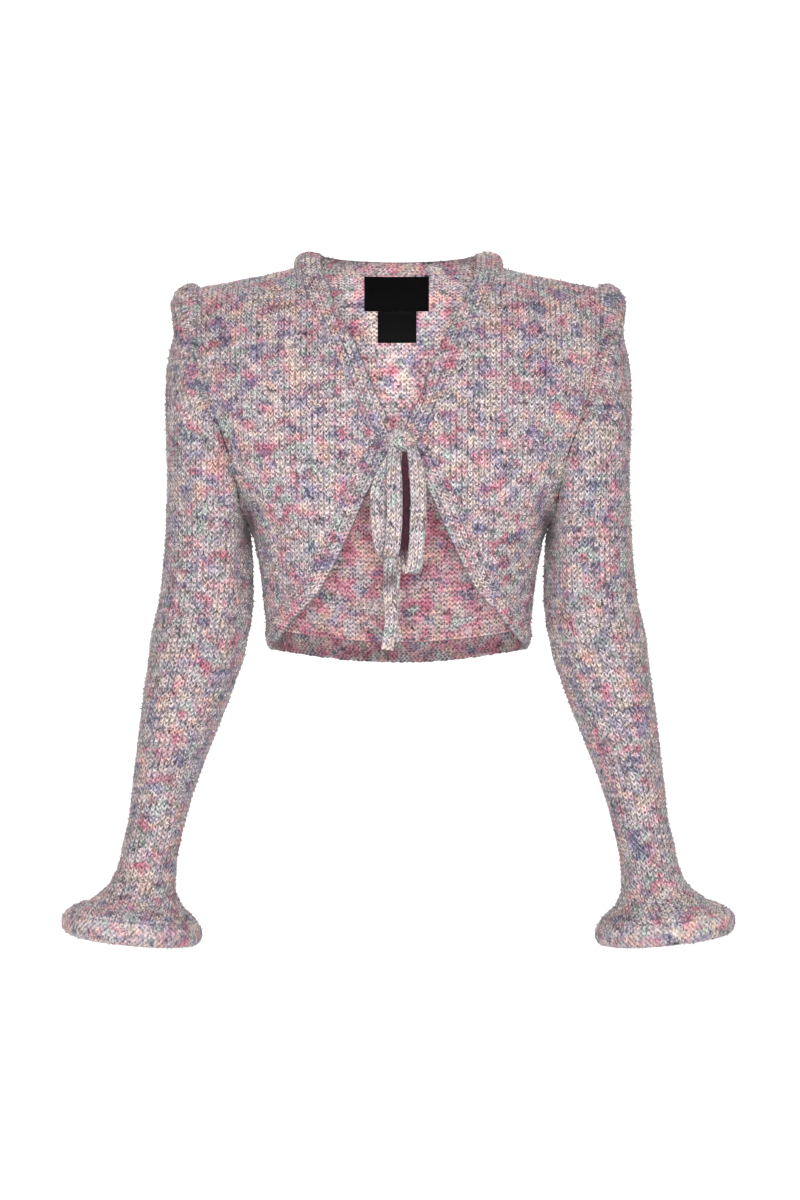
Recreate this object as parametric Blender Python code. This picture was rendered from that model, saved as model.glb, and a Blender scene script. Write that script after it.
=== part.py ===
"""A cropped, tie-front knitted cardigan, filled out as if worn, with long flared sleeves.

Metres, +Z up. The front faces -Y and the wearer's left is +X. The origin lies between
the shoulders, level with the tops of the shoulder seams. Every piece of cloth is a wall:
a grid of points on its outside, worked out from tables and formulas, and the same grid
moved in by the cloth's thickness.
"""

import bmesh
import bpy
import numpy as np
from mathutils import Vector

# ---- Driving sizes ----------------------------------------------------------------------
CLOTH = 0.0026  # knitted wall
BAND_CLOTH = 0.0030  # the bands' wall, a denser knit
SEAM_GAP = 0.0003  # between neighbouring pieces
BODY_SQUARENESS = 2.3  # exponent of the body's section: 2 is an ellipse, more is squarer

NECK_POINT = (0.1045, 0.0115)  # x, z: where the shoulder seam meets the neck band
SHOULDER_POINT = (0.198, -0.008)  # x, z: where the shoulder seam meets the sleeve
UNDERARM = (0.150, -0.245)  # x, z: the lowest point of the armhole
SIDE_HEM_SEAM = -0.349  # z: where the side seam meets the hem band
BACK_NECK_SEAM = 0.011  # z of the neck band's seam at the centre back
BACK_HEM_DROP = 0.0145  # the centre back hangs this much lower than the sides
BAND_WIDTH = 0.020

NECK_TOP_HALF = 0.078  # half the width of the neck opening at the shoulders
NECK_TOP_DEPTH = 0.052  # from the shoulder line back to the neck band's top edge
NECK_TOP_HEIGHT = (0.0235, 0.0260)  # z of that edge at the centre back and at the shoulders

LOOP_STRAP = 0.0165  # widths of the tie's strap in the loops and in the free ends
END_STRAP = 0.0150
STRAP_CLOTH = 0.0034
STRAP_GATHER = 0.6  # a strap's width at the knot, as a share of its full width
NECK_BAND_RISE = 0.0025  # how far each band stands out between its edges
HEM_BAND_RISE = 0.0020
SETTLED_BY = 0.30  # share of the sleeve over which its columns even out
HOLD_SHARE = 0.35  # share of the sleeve over which it lets go of the armhole's shape

# ---- How finely the walls are divided ----------------------------------------------------
SIDE_ROWS = 6  # along the side seam
ARMHOLE_ROWS = 12  # along half an armhole
SHOULDER_COLUMNS = 8
NECK_COLUMNS = 12
BAND_ROWS = 3
SLEEVE_RINGS = 33
STRAP_ROWS = 24
STRAP_SIDES = 8
LABEL_ROWS = 3
LABEL_COLUMNS = 4

# ---- Tables -------------------------------------------------------------------------------
# Height, half width at the side, centre front depth, centre back depth
BODY = np.array([
    (-0.384, 0.1250, 0.080, 0.077),
    (-0.366, 0.1292, 0.083, 0.080),
    (-0.356, 0.1313, 0.085, 0.081),
    (-0.344, 0.1322, 0.087, 0.083),
    (-0.320, 0.1345, 0.091, 0.086),
    (-0.284, 0.1392, 0.096, 0.090),
    (-0.262, 0.1448, 0.099, 0.092),
    (-0.245, 0.1500, 0.101, 0.093),
    (-0.216, 0.1700, 0.104, 0.095),
    (-0.170, 0.1960, 0.106, 0.097),
    (-0.120, 0.2150, 0.102, 0.098),
    (-0.060, 0.2260, 0.090, 0.094),
    (0.000, 0.2310, 0.080, 0.087),
    (0.040, 0.2330, 0.076, 0.082),
])
# Distance from the centre, height of the shoulder line, depth over which it rounds off
ROOF = np.array([
    (0.000, 0.0350, 0.100),
    (0.050, 0.0305, 0.096),
    (0.080, 0.0215, 0.086),
    (0.1045, 0.0115, 0.076),
    (0.155, 0.0000, 0.074),
    (0.175, -0.0040, 0.072),
    (0.198, -0.0080, 0.070),
    (0.240, -0.0160, 0.068),
])
# Half an armhole from the shoulder down: x, z
ARMHOLE = np.array([
    SHOULDER_POINT,
    (0.1995, -0.030),
    (0.1975, -0.066),
    (0.1870, -0.118),
    (0.1660, -0.180),
    (0.1590, -0.216),
    UNDERARM,
])
# A front's edge from the shoulder down to the side hem: the band's free edge (x, z), the
# band's seam (x, z), and how far the band stands out from the body between them
FRONT_EDGE = np.array([
    (0.0780, 0.0260, *NECK_POINT, 0.0105),
    (0.0750, 0.0030, 0.0955, -0.0070, 0.0050),
    (0.0625, -0.0300, 0.0820, -0.0390, 0.0030),
    (0.0445, -0.0660, 0.0632, -0.0760, 0.0022),
    (0.0315, -0.0970, 0.0507, -0.1055, 0.0020),
    (0.0195, -0.1260, 0.0380, -0.1345, 0.0022),
    (0.0095, -0.1470, 0.0270, -0.1545, 0.0026),
    (0.0042, -0.1640, 0.0195, -0.1660, 0.0030),
    (0.0135, -0.1850, 0.0318, -0.1770, 0.0024),
    (0.0265, -0.2090, 0.0455, -0.2000, 0.0020),
    (0.0425, -0.2430, 0.0615, -0.2345, 0.0020),
    (0.0585, -0.2770, 0.0770, -0.2675, 0.0020),
    (0.0755, -0.3080, 0.0925, -0.2965, 0.0020),
    (0.0950, -0.3300, 0.1075, -0.3155, 0.0020),
    (0.1100, -0.3470, 0.1200, -0.3300, 0.0020),
    (0.1215, -0.3600, 0.1285, -0.3415, 0.0020),
    (0.1286, -0.3690, 0.1316, SIDE_HEM_SEAM, 0.0020),
])
FRONT_UNDERARM = 9.6  # the row level with the underarm
FRONT_CORNER = 12  # the row where a front's near-vertical edge becomes its hem
# Sleeve sections from the armhole to the rolled edge: the outer line (x, z), the inner
# line (x, z), half the depth at the front and at the back, and how far forward it leans
SLEEVE = np.array([
    (*SHOULDER_POINT, *UNDERARM, 0.050, 0.048, 0.000),
    (0.2050, -0.0090, 0.1495, -0.2500, 0.053, 0.051, 0.000),
    (0.2115, -0.0125, 0.1478, -0.2540, 0.056, 0.054, 0.000),
    (0.2165, -0.0185, 0.1474, -0.2580, 0.058, 0.056, 0.000),
    (0.2200, -0.0270, 0.1471, -0.2620, 0.059, 0.057, 0.000),
    (0.2225, -0.0370, 0.1468, -0.2660, 0.060, 0.058, 0.000),
    (0.2240, -0.0480, 0.1465, -0.2700, 0.060, 0.058, 0.000),
    (0.2262, -0.0620, 0.1462, -0.2750, 0.060, 0.059, 0.000),
    (0.2297, -0.0820, 0.1459, -0.2810, 0.061, 0.059, 0.000),
    (0.2320, -0.1120, 0.1456, -0.2890, 0.061, 0.060, 0.000),
    (0.2318, -0.1500, 0.1454, -0.2990, 0.060, 0.060, 0.000),
    (0.2304, -0.1950, 0.1453, -0.3110, 0.058, 0.059, 0.001),
    (0.2313, -0.2361, 0.1453, -0.3240, 0.056, 0.058, 0.003),
    (0.2336, -0.2781, 0.1468, -0.3390, 0.054, 0.057, 0.005),
    (0.2380, -0.3180, 0.1492, -0.3549, 0.052, 0.055, 0.008),
    (0.2455, -0.3539, 0.1539, -0.3778, 0.050, 0.051, 0.011),
    (0.2490, -0.3837, 0.1632, -0.4046, 0.047, 0.047, 0.014),
    (0.2541, -0.4224, 0.1784, -0.4443, 0.043, 0.042, 0.018),
    (0.2585, -0.4610, 0.1941, -0.4838, 0.038, 0.037, 0.022),
    (0.2626, -0.4985, 0.2067, -0.5213, 0.034, 0.033, 0.026),
    (0.2663, -0.5339, 0.2144, -0.5518, 0.031, 0.031, 0.029),
    (0.2721, -0.5595, 0.2187, -0.5734, 0.030, 0.030, 0.031),
    (0.2774, -0.5832, 0.2204, -0.5931, 0.031, 0.031, 0.032),
    (0.2853, -0.5999, 0.2202, -0.6078, 0.034, 0.034, 0.033),
    (0.2960, -0.6097, 0.2165, -0.6171, 0.041, 0.041, 0.034),
    (0.3050, -0.6165, 0.2130, -0.6240, 0.050, 0.050, 0.034),
    (0.3200, -0.6215, 0.2040, -0.6325, 0.063, 0.062, 0.034),
    (0.3308, -0.6295, 0.1973, -0.6413, 0.069, 0.068, 0.034),
    (0.3321, -0.6385, 0.1948, -0.6515, 0.071, 0.070, 0.034),
    (0.3286, -0.6465, 0.1978, -0.6590, 0.068, 0.067, 0.034),
    (0.3217, -0.6485, 0.2040, -0.6610, 0.062, 0.061, 0.034),
])
# The roll at the sleeve head: the section's row in the table above, and how far the roll
# stands out and up there
HEAD_ROLL = np.array([
    (0.0, 0.0000, 0.0000),
    (1.0, -0.0010, 0.0050),
    (2.0, 0.0010, 0.0080),
    (3.0, 0.0055, 0.0070),
    (4.0, 0.0070, 0.0035),
    (5.0, 0.0030, 0.0010),
    (6.0, -0.0012, 0.0000),
    (7.5, 0.0000, 0.0000),
])
# Paths of the tie's straps, from the knot down and back: x, distance forward, z
LOOP_RIGHT = np.array([
    (-0.0045, 0.1265, -0.1784),
    (-0.0044, 0.1275, -0.1900),
    (-0.0038, 0.1310, -0.2150),
    (-0.0040, 0.1325, -0.2480),
    (-0.0070, 0.1300, -0.2740),
    (-0.0135, 0.1235, -0.2740),
    (-0.0185, 0.1210, -0.2500),
    (-0.0190, 0.1212, -0.2150),
    (-0.0110, 0.1216, -0.1930),
    (-0.0050, 0.1215, -0.1784),
])
LOOP_LEFT = np.array([
    (0.0085, 0.1265, -0.1784),
    (0.0130, 0.1275, -0.1900),
    (0.0185, 0.1310, -0.2150),
    (0.0190, 0.1330, -0.2500),
    (0.0170, 0.1310, -0.2840),
    (0.0115, 0.1245, -0.2915),
    (0.0085, 0.1210, -0.2650),
    (0.0085, 0.1212, -0.2200),
    (0.0085, 0.1215, -0.1784),
])
END_RIGHT = np.array([
    (-0.0020, 0.1165, -0.1784),
    (-0.0040, 0.1165, -0.2100),
    (-0.0065, 0.1160, -0.2600),
    (-0.0090, 0.1160, -0.3050),
    (-0.0070, 0.1165, -0.3400),
    (-0.0110, 0.1160, -0.3680),
])
END_LEFT = np.array([
    (0.0035, 0.1117, -0.1783),
    (0.0020, 0.1115, -0.2100),
    (-0.0010, 0.1105, -0.2600),
    (-0.0050, 0.1095, -0.3050),
    (-0.0060, 0.1095, -0.3380),
    (-0.0015, 0.1090, -0.3610),
])
KNOT_MIDDLE = (0.0020, -0.1183, -0.1668)
KNOT_HALF = (0.0150, 0.0107, 0.0112)
# Labels: centre x, half width, top z, bottom z
MAIN_LABEL = (-0.0020, 0.0338, 0.0085, -0.0240)
CARE_LABEL = (-0.0015, 0.0203, -0.0244, -0.0555)
LABEL_CLOTH = 0.0010
LABEL_CLEARANCE = 0.0009  # the back's flat faces cut this far inside its true curve


# ---- Curves and surfaces ------------------------------------------------------------------
def smooth(at, knots, values):
    """Cubic curve through values at rising knots, each slope taken from the neighbours."""
    slopes = np.gradient(values, knots, axis=0)
    at = np.clip(at, knots[0], knots[-1])
    low = np.clip(np.searchsorted(knots, at, side="right") - 1, 0, len(knots) - 2)
    step = (knots[low + 1] - knots[low])
    t = (at - knots[low]) / step
    if values.ndim > 1:
        t, step = t[..., None], step[..., None]
    return (
        (2 * t**3 - 3 * t**2 + 1) * values[low]
        + (t**3 - 2 * t**2 + t) * step * slopes[low]
        + (3 * t**2 - 2 * t**3) * values[low + 1]
        + (t**3 - t**2) * step * slopes[low + 1]
    )


def along(table, share):
    """Points of a table's smooth curve at shares 0 to 1 of its rows."""
    rows = np.arange(len(table), dtype=float)
    return smooth(np.asarray(share) * rows[-1], rows, table)


def half_width(z):
    return smooth(z, BODY[:, 0], BODY[:, 1])


def turn_of(x, z):
    """The angle round the body, 0 at the centre and a right angle at the side seam."""
    return np.arcsin(np.clip(x / half_width(z), -1, 1))


def body(turn, z, face):
    """The body's outside, front (face -1) or back (face 1).

    x = half_width(z) sin(turn). y = centre depth(z) sqrt(1 - |sin turn|^squareness),
    shrunk to 0 at the shoulder line by a quarter circle over the roof's rounding depth.
    """
    x = half_width(z) * np.sin(turn)
    depth = smooth(z, BODY[:, 0], BODY[:, 2 if face < 0 else 3])
    roof = smooth(np.abs(x), ROOF[:, 0], ROOF[:, 1:])
    below = np.clip((roof[..., 0] - z) / roof[..., 1], 0, 1)
    fullness = np.sqrt(np.clip(1 - np.abs(np.sin(turn)) ** BODY_SQUARENESS, 0, 1))
    y = face * depth * fullness * np.sqrt(1 - (1 - below) ** 2)
    return np.stack([x, y, z], axis=-1)


def patch(bottom, top, inner, outer):
    """Coons patch of (turn, z) from four edges that share their corners."""
    across = np.linspace(0, 1, len(bottom))[None, :, None]
    up = np.linspace(0, 1, len(inner))[:, None, None]
    return (
        (1 - up) * bottom[None] + up * top[None]
        + (1 - across) * inner[:, None] + across * outer[:, None]
        - (1 - across) * (1 - up) * bottom[0] - across * (1 - up) * bottom[-1]
        - (1 - across) * up * top[0] - across * up * top[-1]
    )


def on_body(x, z):
    """Points (turn, z) of the body from x and z seen from the front."""
    return np.stack([turn_of(x, z), z], axis=-1)


# ---- Edges shared by neighbouring pieces ---------------------------------------------------
def falling(count, dense_top):
    """Shares 0 to 1, closer together near 0 by dense_top."""
    return np.linspace(0, 1, count + 1) ** dense_top


def side_and_armhole():
    """(turn, z) up the side seam from the hem, then up the armhole to the shoulder."""
    z = np.linspace(SIDE_HEM_SEAM, UNDERARM[1], SIDE_ROWS + 1)
    side = np.stack([np.full_like(z, np.pi / 2), z], axis=-1)
    hole = along(on_body(ARMHOLE[:, 0], ARMHOLE[:, 1]), falling(ARMHOLE_ROWS, 1.35)[::-1])[1:]
    return np.concatenate([side, hole])


def shoulder_seam():
    """(turn, z) from the neck out to the sleeve."""
    x = np.linspace(NECK_POINT[0], SHOULDER_POINT[0], SHOULDER_COLUMNS + 1)
    return on_body(x, smooth(x, ROOF[:, 0], ROOF[:, 1]))


def front_edges():
    """(turn, z) of a front's free edge and band seam from the shoulder to the side hem,
    and the band's rise, one row for each point that the front and its band share."""
    last = len(FRONT_EDGE) - 1
    rows = np.concatenate([
        FRONT_UNDERARM * falling(ARMHOLE_ROWS, 1.3),
        np.linspace(FRONT_UNDERARM, FRONT_CORNER, SIDE_ROWS + 1)[1:],
        np.linspace(FRONT_CORNER, last, SHOULDER_COLUMNS + 1)[1:],
    ])
    shares = rows / last
    free = along(on_body(FRONT_EDGE[:, 0], FRONT_EDGE[:, 1]), shares)
    seam = along(on_body(FRONT_EDGE[:, 2], FRONT_EDGE[:, 3]), shares)
    seam[-1, 0] = free[-1, 0] = np.pi / 2
    return free, seam, along(FRONT_EDGE[:, 4:5], shares)[:, 0]


def back_neck():
    """Angles round the back neck from the wearer's right to left, closer together near
    the shoulders, and the band's seam there."""
    q = np.sin(np.linspace(-np.pi / 2, np.pi / 2, NECK_COLUMNS + 1)) * np.pi / 2
    x = NECK_POINT[0] * np.sin(q)
    z = NECK_POINT[1] + (BACK_NECK_SEAM - NECK_POINT[1]) * np.cos(q)
    return q, on_body(x, z)


def back_hem(drop):
    """(turn, z) of the back's hem seam, drop lower than at the side seams' ends."""
    turn = np.linspace(-np.pi / 2, np.pi / 2, NECK_COLUMNS + 2 * SHOULDER_COLUMNS + 1)
    return np.stack([turn, SIDE_HEM_SEAM - drop - BACK_HEM_DROP * np.cos(turn) ** 2], axis=-1)


# ---- Walls ----------------------------------------------------------------------------------
def normals_of(skin, wraps=False):
    """Unit normals of a grid. Where it crosses the shoulder or side line (y = 0) they stay
    in that plane, so that two pieces that meet there share them."""
    down = np.gradient(skin, axis=0)
    if wraps:
        across = np.roll(skin, -1, axis=1) - np.roll(skin, 1, axis=1)
    else:
        across = np.gradient(skin, axis=1)
    normal = np.cross(across, down)
    normal[np.abs(skin[..., 1]) < 1e-6, 1] = 0
    return normal / np.linalg.norm(normal, axis=-1, keepdims=True)


ALL_SIDES = ("first row", "last row", "first column", "last column")


def pulled_in(skin, normals, seams):
    """The grid with its borders at the named seams drawn in by half a seam gap, along the
    cloth and square to the border."""
    moved = skin.copy()
    for seam in seams:
        end, kind = seam.split()
        edge, inside = (0, 1) if end == "first" else (-1, -2)
        lines, across, target = (
            grid if kind == "row" else grid.swapaxes(0, 1) for grid in (skin, normals, moved)
        )
        square = np.cross(across[edge], np.gradient(lines[edge], axis=0))
        square /= np.linalg.norm(square, axis=-1, keepdims=True)
        inwards = ((lines[inside] - lines[edge]) * square).sum() > 0
        target[edge] += square * SEAM_GAP / 2 * (1 if inwards else -1)
    return moved


def grid_faces(rows, columns, wraps):
    """Corner numbers of a grid's four-sided faces, row by row."""
    last = columns if wraps else columns - 1
    r, c = np.meshgrid(np.arange(rows - 1), np.arange(last), indexing="ij")
    near, far = r * columns + c, r * columns + (c + 1) % columns
    return np.stack([near, far, far + columns, near + columns], axis=-1).reshape(-1, 4)


def halved(points, faces):
    """Each four-sided face as two triangles, along its shorter diagonal."""
    a, b, c, d = faces.T
    one = np.linalg.norm(points[a] - points[c], axis=1) < np.linalg.norm(points[b] - points[d], axis=1)
    one = one[:, None]
    first = np.where(one, np.stack([a, b, c], axis=-1), np.stack([a, b, d], axis=-1))
    second = np.where(one, np.stack([a, c, d], axis=-1), np.stack([b, c, d], axis=-1))
    return np.concatenate([first, second])


def cloth_wall(name, skin, inside, material, wraps=False):
    """A closed wall between an outer grid and an inner one, with rims round its borders."""
    rows, columns = skin.shape[:2]
    count = rows * columns
    points = np.concatenate([skin.reshape(-1, 3), inside.reshape(-1, 3)])
    number = np.arange(count).reshape(rows, columns)
    if wraps:
        borders = [np.append(number[0], number[0, 0]), np.append(number[-1], number[-1, 0])[::-1]]
    else:
        borders = [np.concatenate([number[0], number[1:, -1], number[-1, -2::-1], number[-2::-1, 0]])]
    rims = [np.stack([b[1:], b[:-1], b[:-1] + count, b[1:] + count], axis=-1) for b in borders]
    outside = halved(points, grid_faces(rows, columns, wraps))
    rims = halved(points, np.concatenate(rims))
    return add_piece(name, points, np.concatenate([outside, outside[:, ::-1] + count, rims]), material)


def add_piece(name, points, faces, material):
    mesh = bpy.data.meshes.new(name)
    mesh.from_pydata(points.tolist(), [], [list(face) for face in faces])
    mesh.materials.append(material)
    mesh.shade_smooth()
    piece = bpy.data.objects.new(name, mesh)
    cardigan.objects.link(piece)
    return piece


def knit(name, skin, thickness, material, seams=ALL_SIDES, wraps=False, shared=None):
    """A wall whose inner face is its outer grid moved in along the normals. shared gives
    the normals that a border takes over from the piece it is sewn to."""
    normals = normals_of(skin, wraps)
    for seam, values in (shared or {}).items():
        normals[0 if seam.startswith("first") else -1] = values
    skin = pulled_in(skin, normals, seams)
    return cloth_wall(name, skin, skin - thickness * normals, material, wraps)


def mirrored(skin):
    """The same grid on the wearer's other side, its columns turned round."""
    return (skin * (-1, 1, 1))[:, ::-1]


# ---- Pieces -----------------------------------------------------------------------------------
def front_skin():
    """The wearer's left front, rows from the hem up and columns from the edge out."""
    _, seam, _ = front_edges()
    rows = SIDE_ROWS + ARMHOLE_ROWS
    grid = patch(seam[rows:], shoulder_seam(), seam[:rows + 1][::-1], side_and_armhole())
    return body(grid[..., 0], grid[..., 1], -1)


def back_skin():
    """The back, rows from the hem up and columns from the wearer's left to right."""
    _, neck = back_neck()
    shoulder, outer = shoulder_seam(), side_and_armhole()
    other = (-1, 1)
    top = np.concatenate([(shoulder * other)[::-1], neck[1:-1], shoulder])
    grid = patch(back_hem(0), top, outer * other, outer)
    return body(grid[..., 0], grid[..., 1], 1)[:, ::-1]


def band(low, high, rise):
    """Rows of straight lines between two edges, raised between them by a parabola of
    height rise along the normals."""
    share = np.linspace(0, 1, BAND_ROWS + 1)[:, None, None]
    flat = low[None] * (1 - share) + high[None] * share
    return flat + rise[None, :, None] * 4 * share * (1 - share) * normals_of(flat)


def front_band_skin():
    """The left front's band, rows from its free edge to its seam, columns down the front."""
    free, seam, rise = front_edges()
    return band(body(free[:, 0], free[:, 1], -1), body(seam[:, 0], seam[:, 1], -1), rise)


def neck_band_skin():
    """The band round the back neck, rows from its seam up, columns from left to right."""
    q, seam = back_neck()
    seam = body(seam[:, 0], seam[:, 1], 1)
    middle, shoulder = NECK_TOP_HEIGHT
    free = np.stack([
        NECK_TOP_HALF * np.sin(q),
        NECK_TOP_DEPTH * np.cos(q),
        shoulder + (middle - shoulder) * np.cos(q),
    ], axis=-1)
    free[[0, -1], 1] = seam[[0, -1], 1] = 0
    shoulder_rise = FRONT_EDGE[0, 4]
    rise = shoulder_rise + (NECK_BAND_RISE - shoulder_rise) * np.sqrt(np.cos(q).clip(0, 1))
    return band(seam[::-1], free[::-1], rise)


def hem_band_skin():
    """The band along the back hem, rows from its free edge up, columns left to right."""
    low, high = back_hem(BAND_WIDTH), back_hem(0)
    low, high = body(low[:, 0], low[:, 1], 1), body(high[:, 0], high[:, 1], 1)
    return band(low[::-1], high[::-1], np.full(len(low), HEM_BAND_RISE))


def sections(table, angles):
    """Points of the sleeve's sections at the given angles, by sleeve_skin's formula."""
    outer, inner = table[:, None, 0:2], table[:, None, 2:4]
    deep = np.where(np.sin(angles) > 0, table[:, 4:5], table[:, 5:6])
    across = (outer + inner) / 2 + (outer - inner) / 2 * np.cos(angles)[..., None]
    y = -table[:, 6:7] - np.sin(angles) * deep
    return np.stack([across[..., 0], y, across[..., 1]], axis=-1)


def armhole_loop():
    """The armhole's points from the shoulder down its front and up its back, and their
    angles in the sleeve's first section."""
    edge = side_and_armhole()[SIDE_ROWS:][::-1]
    front, back = body(edge[:, 0], edge[:, 1], -1), body(edge[:, 0], edge[:, 1], 1)
    loop = np.concatenate([front, back[-2:0:-1]])
    shoulder, underarm = np.array(SHOULDER_POINT), np.array(UNDERARM)
    reach = (shoulder - underarm) / 2
    height = (loop[:, [0, 2]] - (shoulder + underarm) / 2) @ reach / (reach @ reach)
    angles = np.arccos(height.clip(-1, 1))
    angles[ARMHOLE_ROWS + 1:] = 2 * np.pi - angles[ARMHOLE_ROWS + 1:]
    return loop, angles


def sleeve_skin():
    """The left sleeve, one row a section from the armhole to the rolled edge.

    A section is M + w cos(a) e + d sin(a) (-Y): M and w are the middle and half the length
    of its line from outer to inner, e points along that line and d is the half depth. The
    first sections are drawn onto the armhole's loop, and let go of it down the sleeve.
    """
    loop, angles = armhole_loop()
    share = np.linspace(0, 1, SLEEVE_RINGS + 1)[:, None]
    even = np.linspace(0, 2 * np.pi, len(loop), endpoint=False)
    settled = (share / SETTLED_BY).clip(0, 1)
    angles = angles + (even - angles) * settled**2 * (3 - 2 * settled)
    rings = sections(along(SLEEVE, share[:, 0]), angles)
    hold = np.exp(-((share / HOLD_SHARE) ** 1.5))[..., None]
    roll = smooth(share[:, 0] * (len(SLEEVE) - 1), HEAD_ROLL[:, 0], HEAD_ROLL[:, 1:])
    near_top = np.cos(angles).clip(0, 1)[..., None] ** 5
    raised = np.zeros_like(rings)
    raised[..., [0, 2]] = roll[:, None] * near_top
    return rings + hold * (loop - rings[0]) + raised


def strap(name, path, width, material, narrow_ends):
    """A flat strap along a path: an ellipse, width by STRAP_CLOTH, carried along it and
    narrower at the knot. narrow_ends is 2 for a loop and 1 for a free end."""
    share = np.linspace(0, 1, STRAP_ROWS + 1)
    middle = along(path * (1, -1, 1), share)
    ahead = np.gradient(middle, axis=0)
    ahead /= np.linalg.norm(ahead, axis=-1, keepdims=True)
    ahead[0] = (0, 0, -1)
    if narrow_ends == 2:
        ahead[-1] = (0, 0, 1)
    across = np.array((1.0, 0, 0)) - ahead[:, :1] * ahead
    across /= np.linalg.norm(across, axis=-1, keepdims=True)
    out = np.cross(ahead, across)
    from_knot = np.minimum(share, 1 - share) if narrow_ends == 2 else share
    full = STRAP_GATHER + (1 - STRAP_GATHER) * (from_knot * 6).clip(0, 1)
    a = np.linspace(0, 2 * np.pi, STRAP_SIDES, endpoint=False)[None, :, None]
    skin = (
        middle[:, None]
        + np.cos(a) * (across * (full * width / 2)[:, None])[:, None]
        + np.sin(a) * out[:, None] * STRAP_CLOTH / 2
    )
    cap = np.arange(STRAP_SIDES)
    faces = grid_faces(*skin.shape[:2], True).tolist()
    faces += [cap[::-1].tolist(), (cap + STRAP_ROWS * STRAP_SIDES).tolist()]
    return add_piece(name, skin.reshape(-1, 3), faces, material)


def knot(material):
    """The knot: a sphere pushed out to |x/a|^4 + |y/b|^4 + |z/c|^4 = 1."""
    shape = bmesh.new()
    bmesh.ops.create_uvsphere(shape, u_segments=16, v_segments=10, radius=1)
    for point in shape.verts:
        spread = sum(value**4 for value in point.co) ** 0.25
        point.co = Vector(
            middle + half * value / spread
            for middle, half, value in zip(KNOT_MIDDLE, KNOT_HALF, point.co)
        )
    mesh = bpy.data.meshes.new("tie_knot")
    shape.to_mesh(mesh)
    shape.free()
    mesh.materials.append(material)
    mesh.shade_smooth()
    cardigan.objects.link(bpy.data.objects.new("tie_knot", mesh))


def label(name, sizes, under, material):
    """A label flat against the inside of the back: the body's points over its rectangle,
    moved in past the cloth by under, then by the label's own thickness."""
    centre, half, top, bottom = sizes
    x, z = np.meshgrid(
        np.linspace(centre + half, centre - half, LABEL_COLUMNS + 1),
        np.linspace(bottom, top, LABEL_ROWS + 1),
    )
    skin = body(turn_of(x, z), z, 1)
    normals = normals_of(skin)
    skin = skin - (CLOTH + under) * normals
    return cloth_wall(name, skin, skin - LABEL_CLOTH * normals, material)


def finish(name, colour, roughness):
    """A plain material of the piece's average colour."""
    material = bpy.data.materials.new(name)
    material.use_nodes = True
    shader = material.node_tree.nodes["Principled BSDF"]
    shader.inputs["Base Color"].default_value = (*colour, 1)
    shader.inputs["Roughness"].default_value = roughness
    shader.inputs["Metallic"].default_value = 0
    return material


for old in list(bpy.data.objects):
    bpy.data.objects.remove(old, do_unlink=True)
cardigan = bpy.data.collections.new("cardigan")
bpy.context.scene.collection.children.link(cardigan)

space_dyed = finish("space-dyed knit", (0.47, 0.36, 0.39), 0.95)
tie_knit = finish("tie knit", (0.52, 0.44, 0.44), 0.95)
woven = finish("woven label", (0.012, 0.012, 0.013), 0.6)

front, back = front_skin(), back_skin()
front_normals, back_normals = normals_of(front), normals_of(back)
front_seam_normals = np.concatenate([front_normals[::-1, 0], front_normals[0, 1:]])
neck_columns = slice(SHOULDER_COLUMNS, SHOULDER_COLUMNS + NECK_COLUMNS + 1)
band_seams = ("last row", "first column", "last column")

for side, place in (("left", lambda skin: skin), ("right", mirrored)):
    knit(f"front_{side}", place(front), CLOTH, space_dyed)
    knit(f"sleeve_{side}", place(sleeve_skin()), CLOTH, space_dyed, ("first row",), wraps=True)
    sewn = {"last row": place(front_seam_normals[None])[0]}
    knit(f"front_band_{side}", place(front_band_skin()), BAND_CLOTH, space_dyed, band_seams, shared=sewn)
knit("back", back, CLOTH, space_dyed)
knit("neck_band", neck_band_skin(), BAND_CLOTH, space_dyed, ("first row", *band_seams[1:]),
     shared={"first row": back_normals[-1, neck_columns]})
knit("hem_band", hem_band_skin(), BAND_CLOTH, space_dyed, band_seams,
     shared={"last row": back_normals[0]})
knot(tie_knit)
strap("tie_loop_right", LOOP_RIGHT, LOOP_STRAP, tie_knit, 2)
strap("tie_loop_left", LOOP_LEFT, LOOP_STRAP, tie_knit, 2)
strap("tie_end_right", END_RIGHT, END_STRAP, tie_knit, 1)
strap("tie_end_left", END_LEFT, END_STRAP, tie_knit, 1)
label("main_label", MAIN_LABEL, LABEL_CLEARANCE, woven)
label("care_label", CARE_LABEL, LABEL_CLEARANCE, woven)
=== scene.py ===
"""Finishes the cropped tie-front cardigan: every knitted piece gets its raised stitches, the
tie its straps and knot, the labels their satin, and all of them their colours.

Metres, +Z up; the front faces -Y and the wearer's left is +X. Each knitted piece is a
surface, a function of u (across) and v (up, against the way it hangs). Its stitches are a
lattice on that surface: columns a fixed distance apart along every row, cut off where the
piece ends, and rows a fixed distance apart up the piece.
"""

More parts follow.
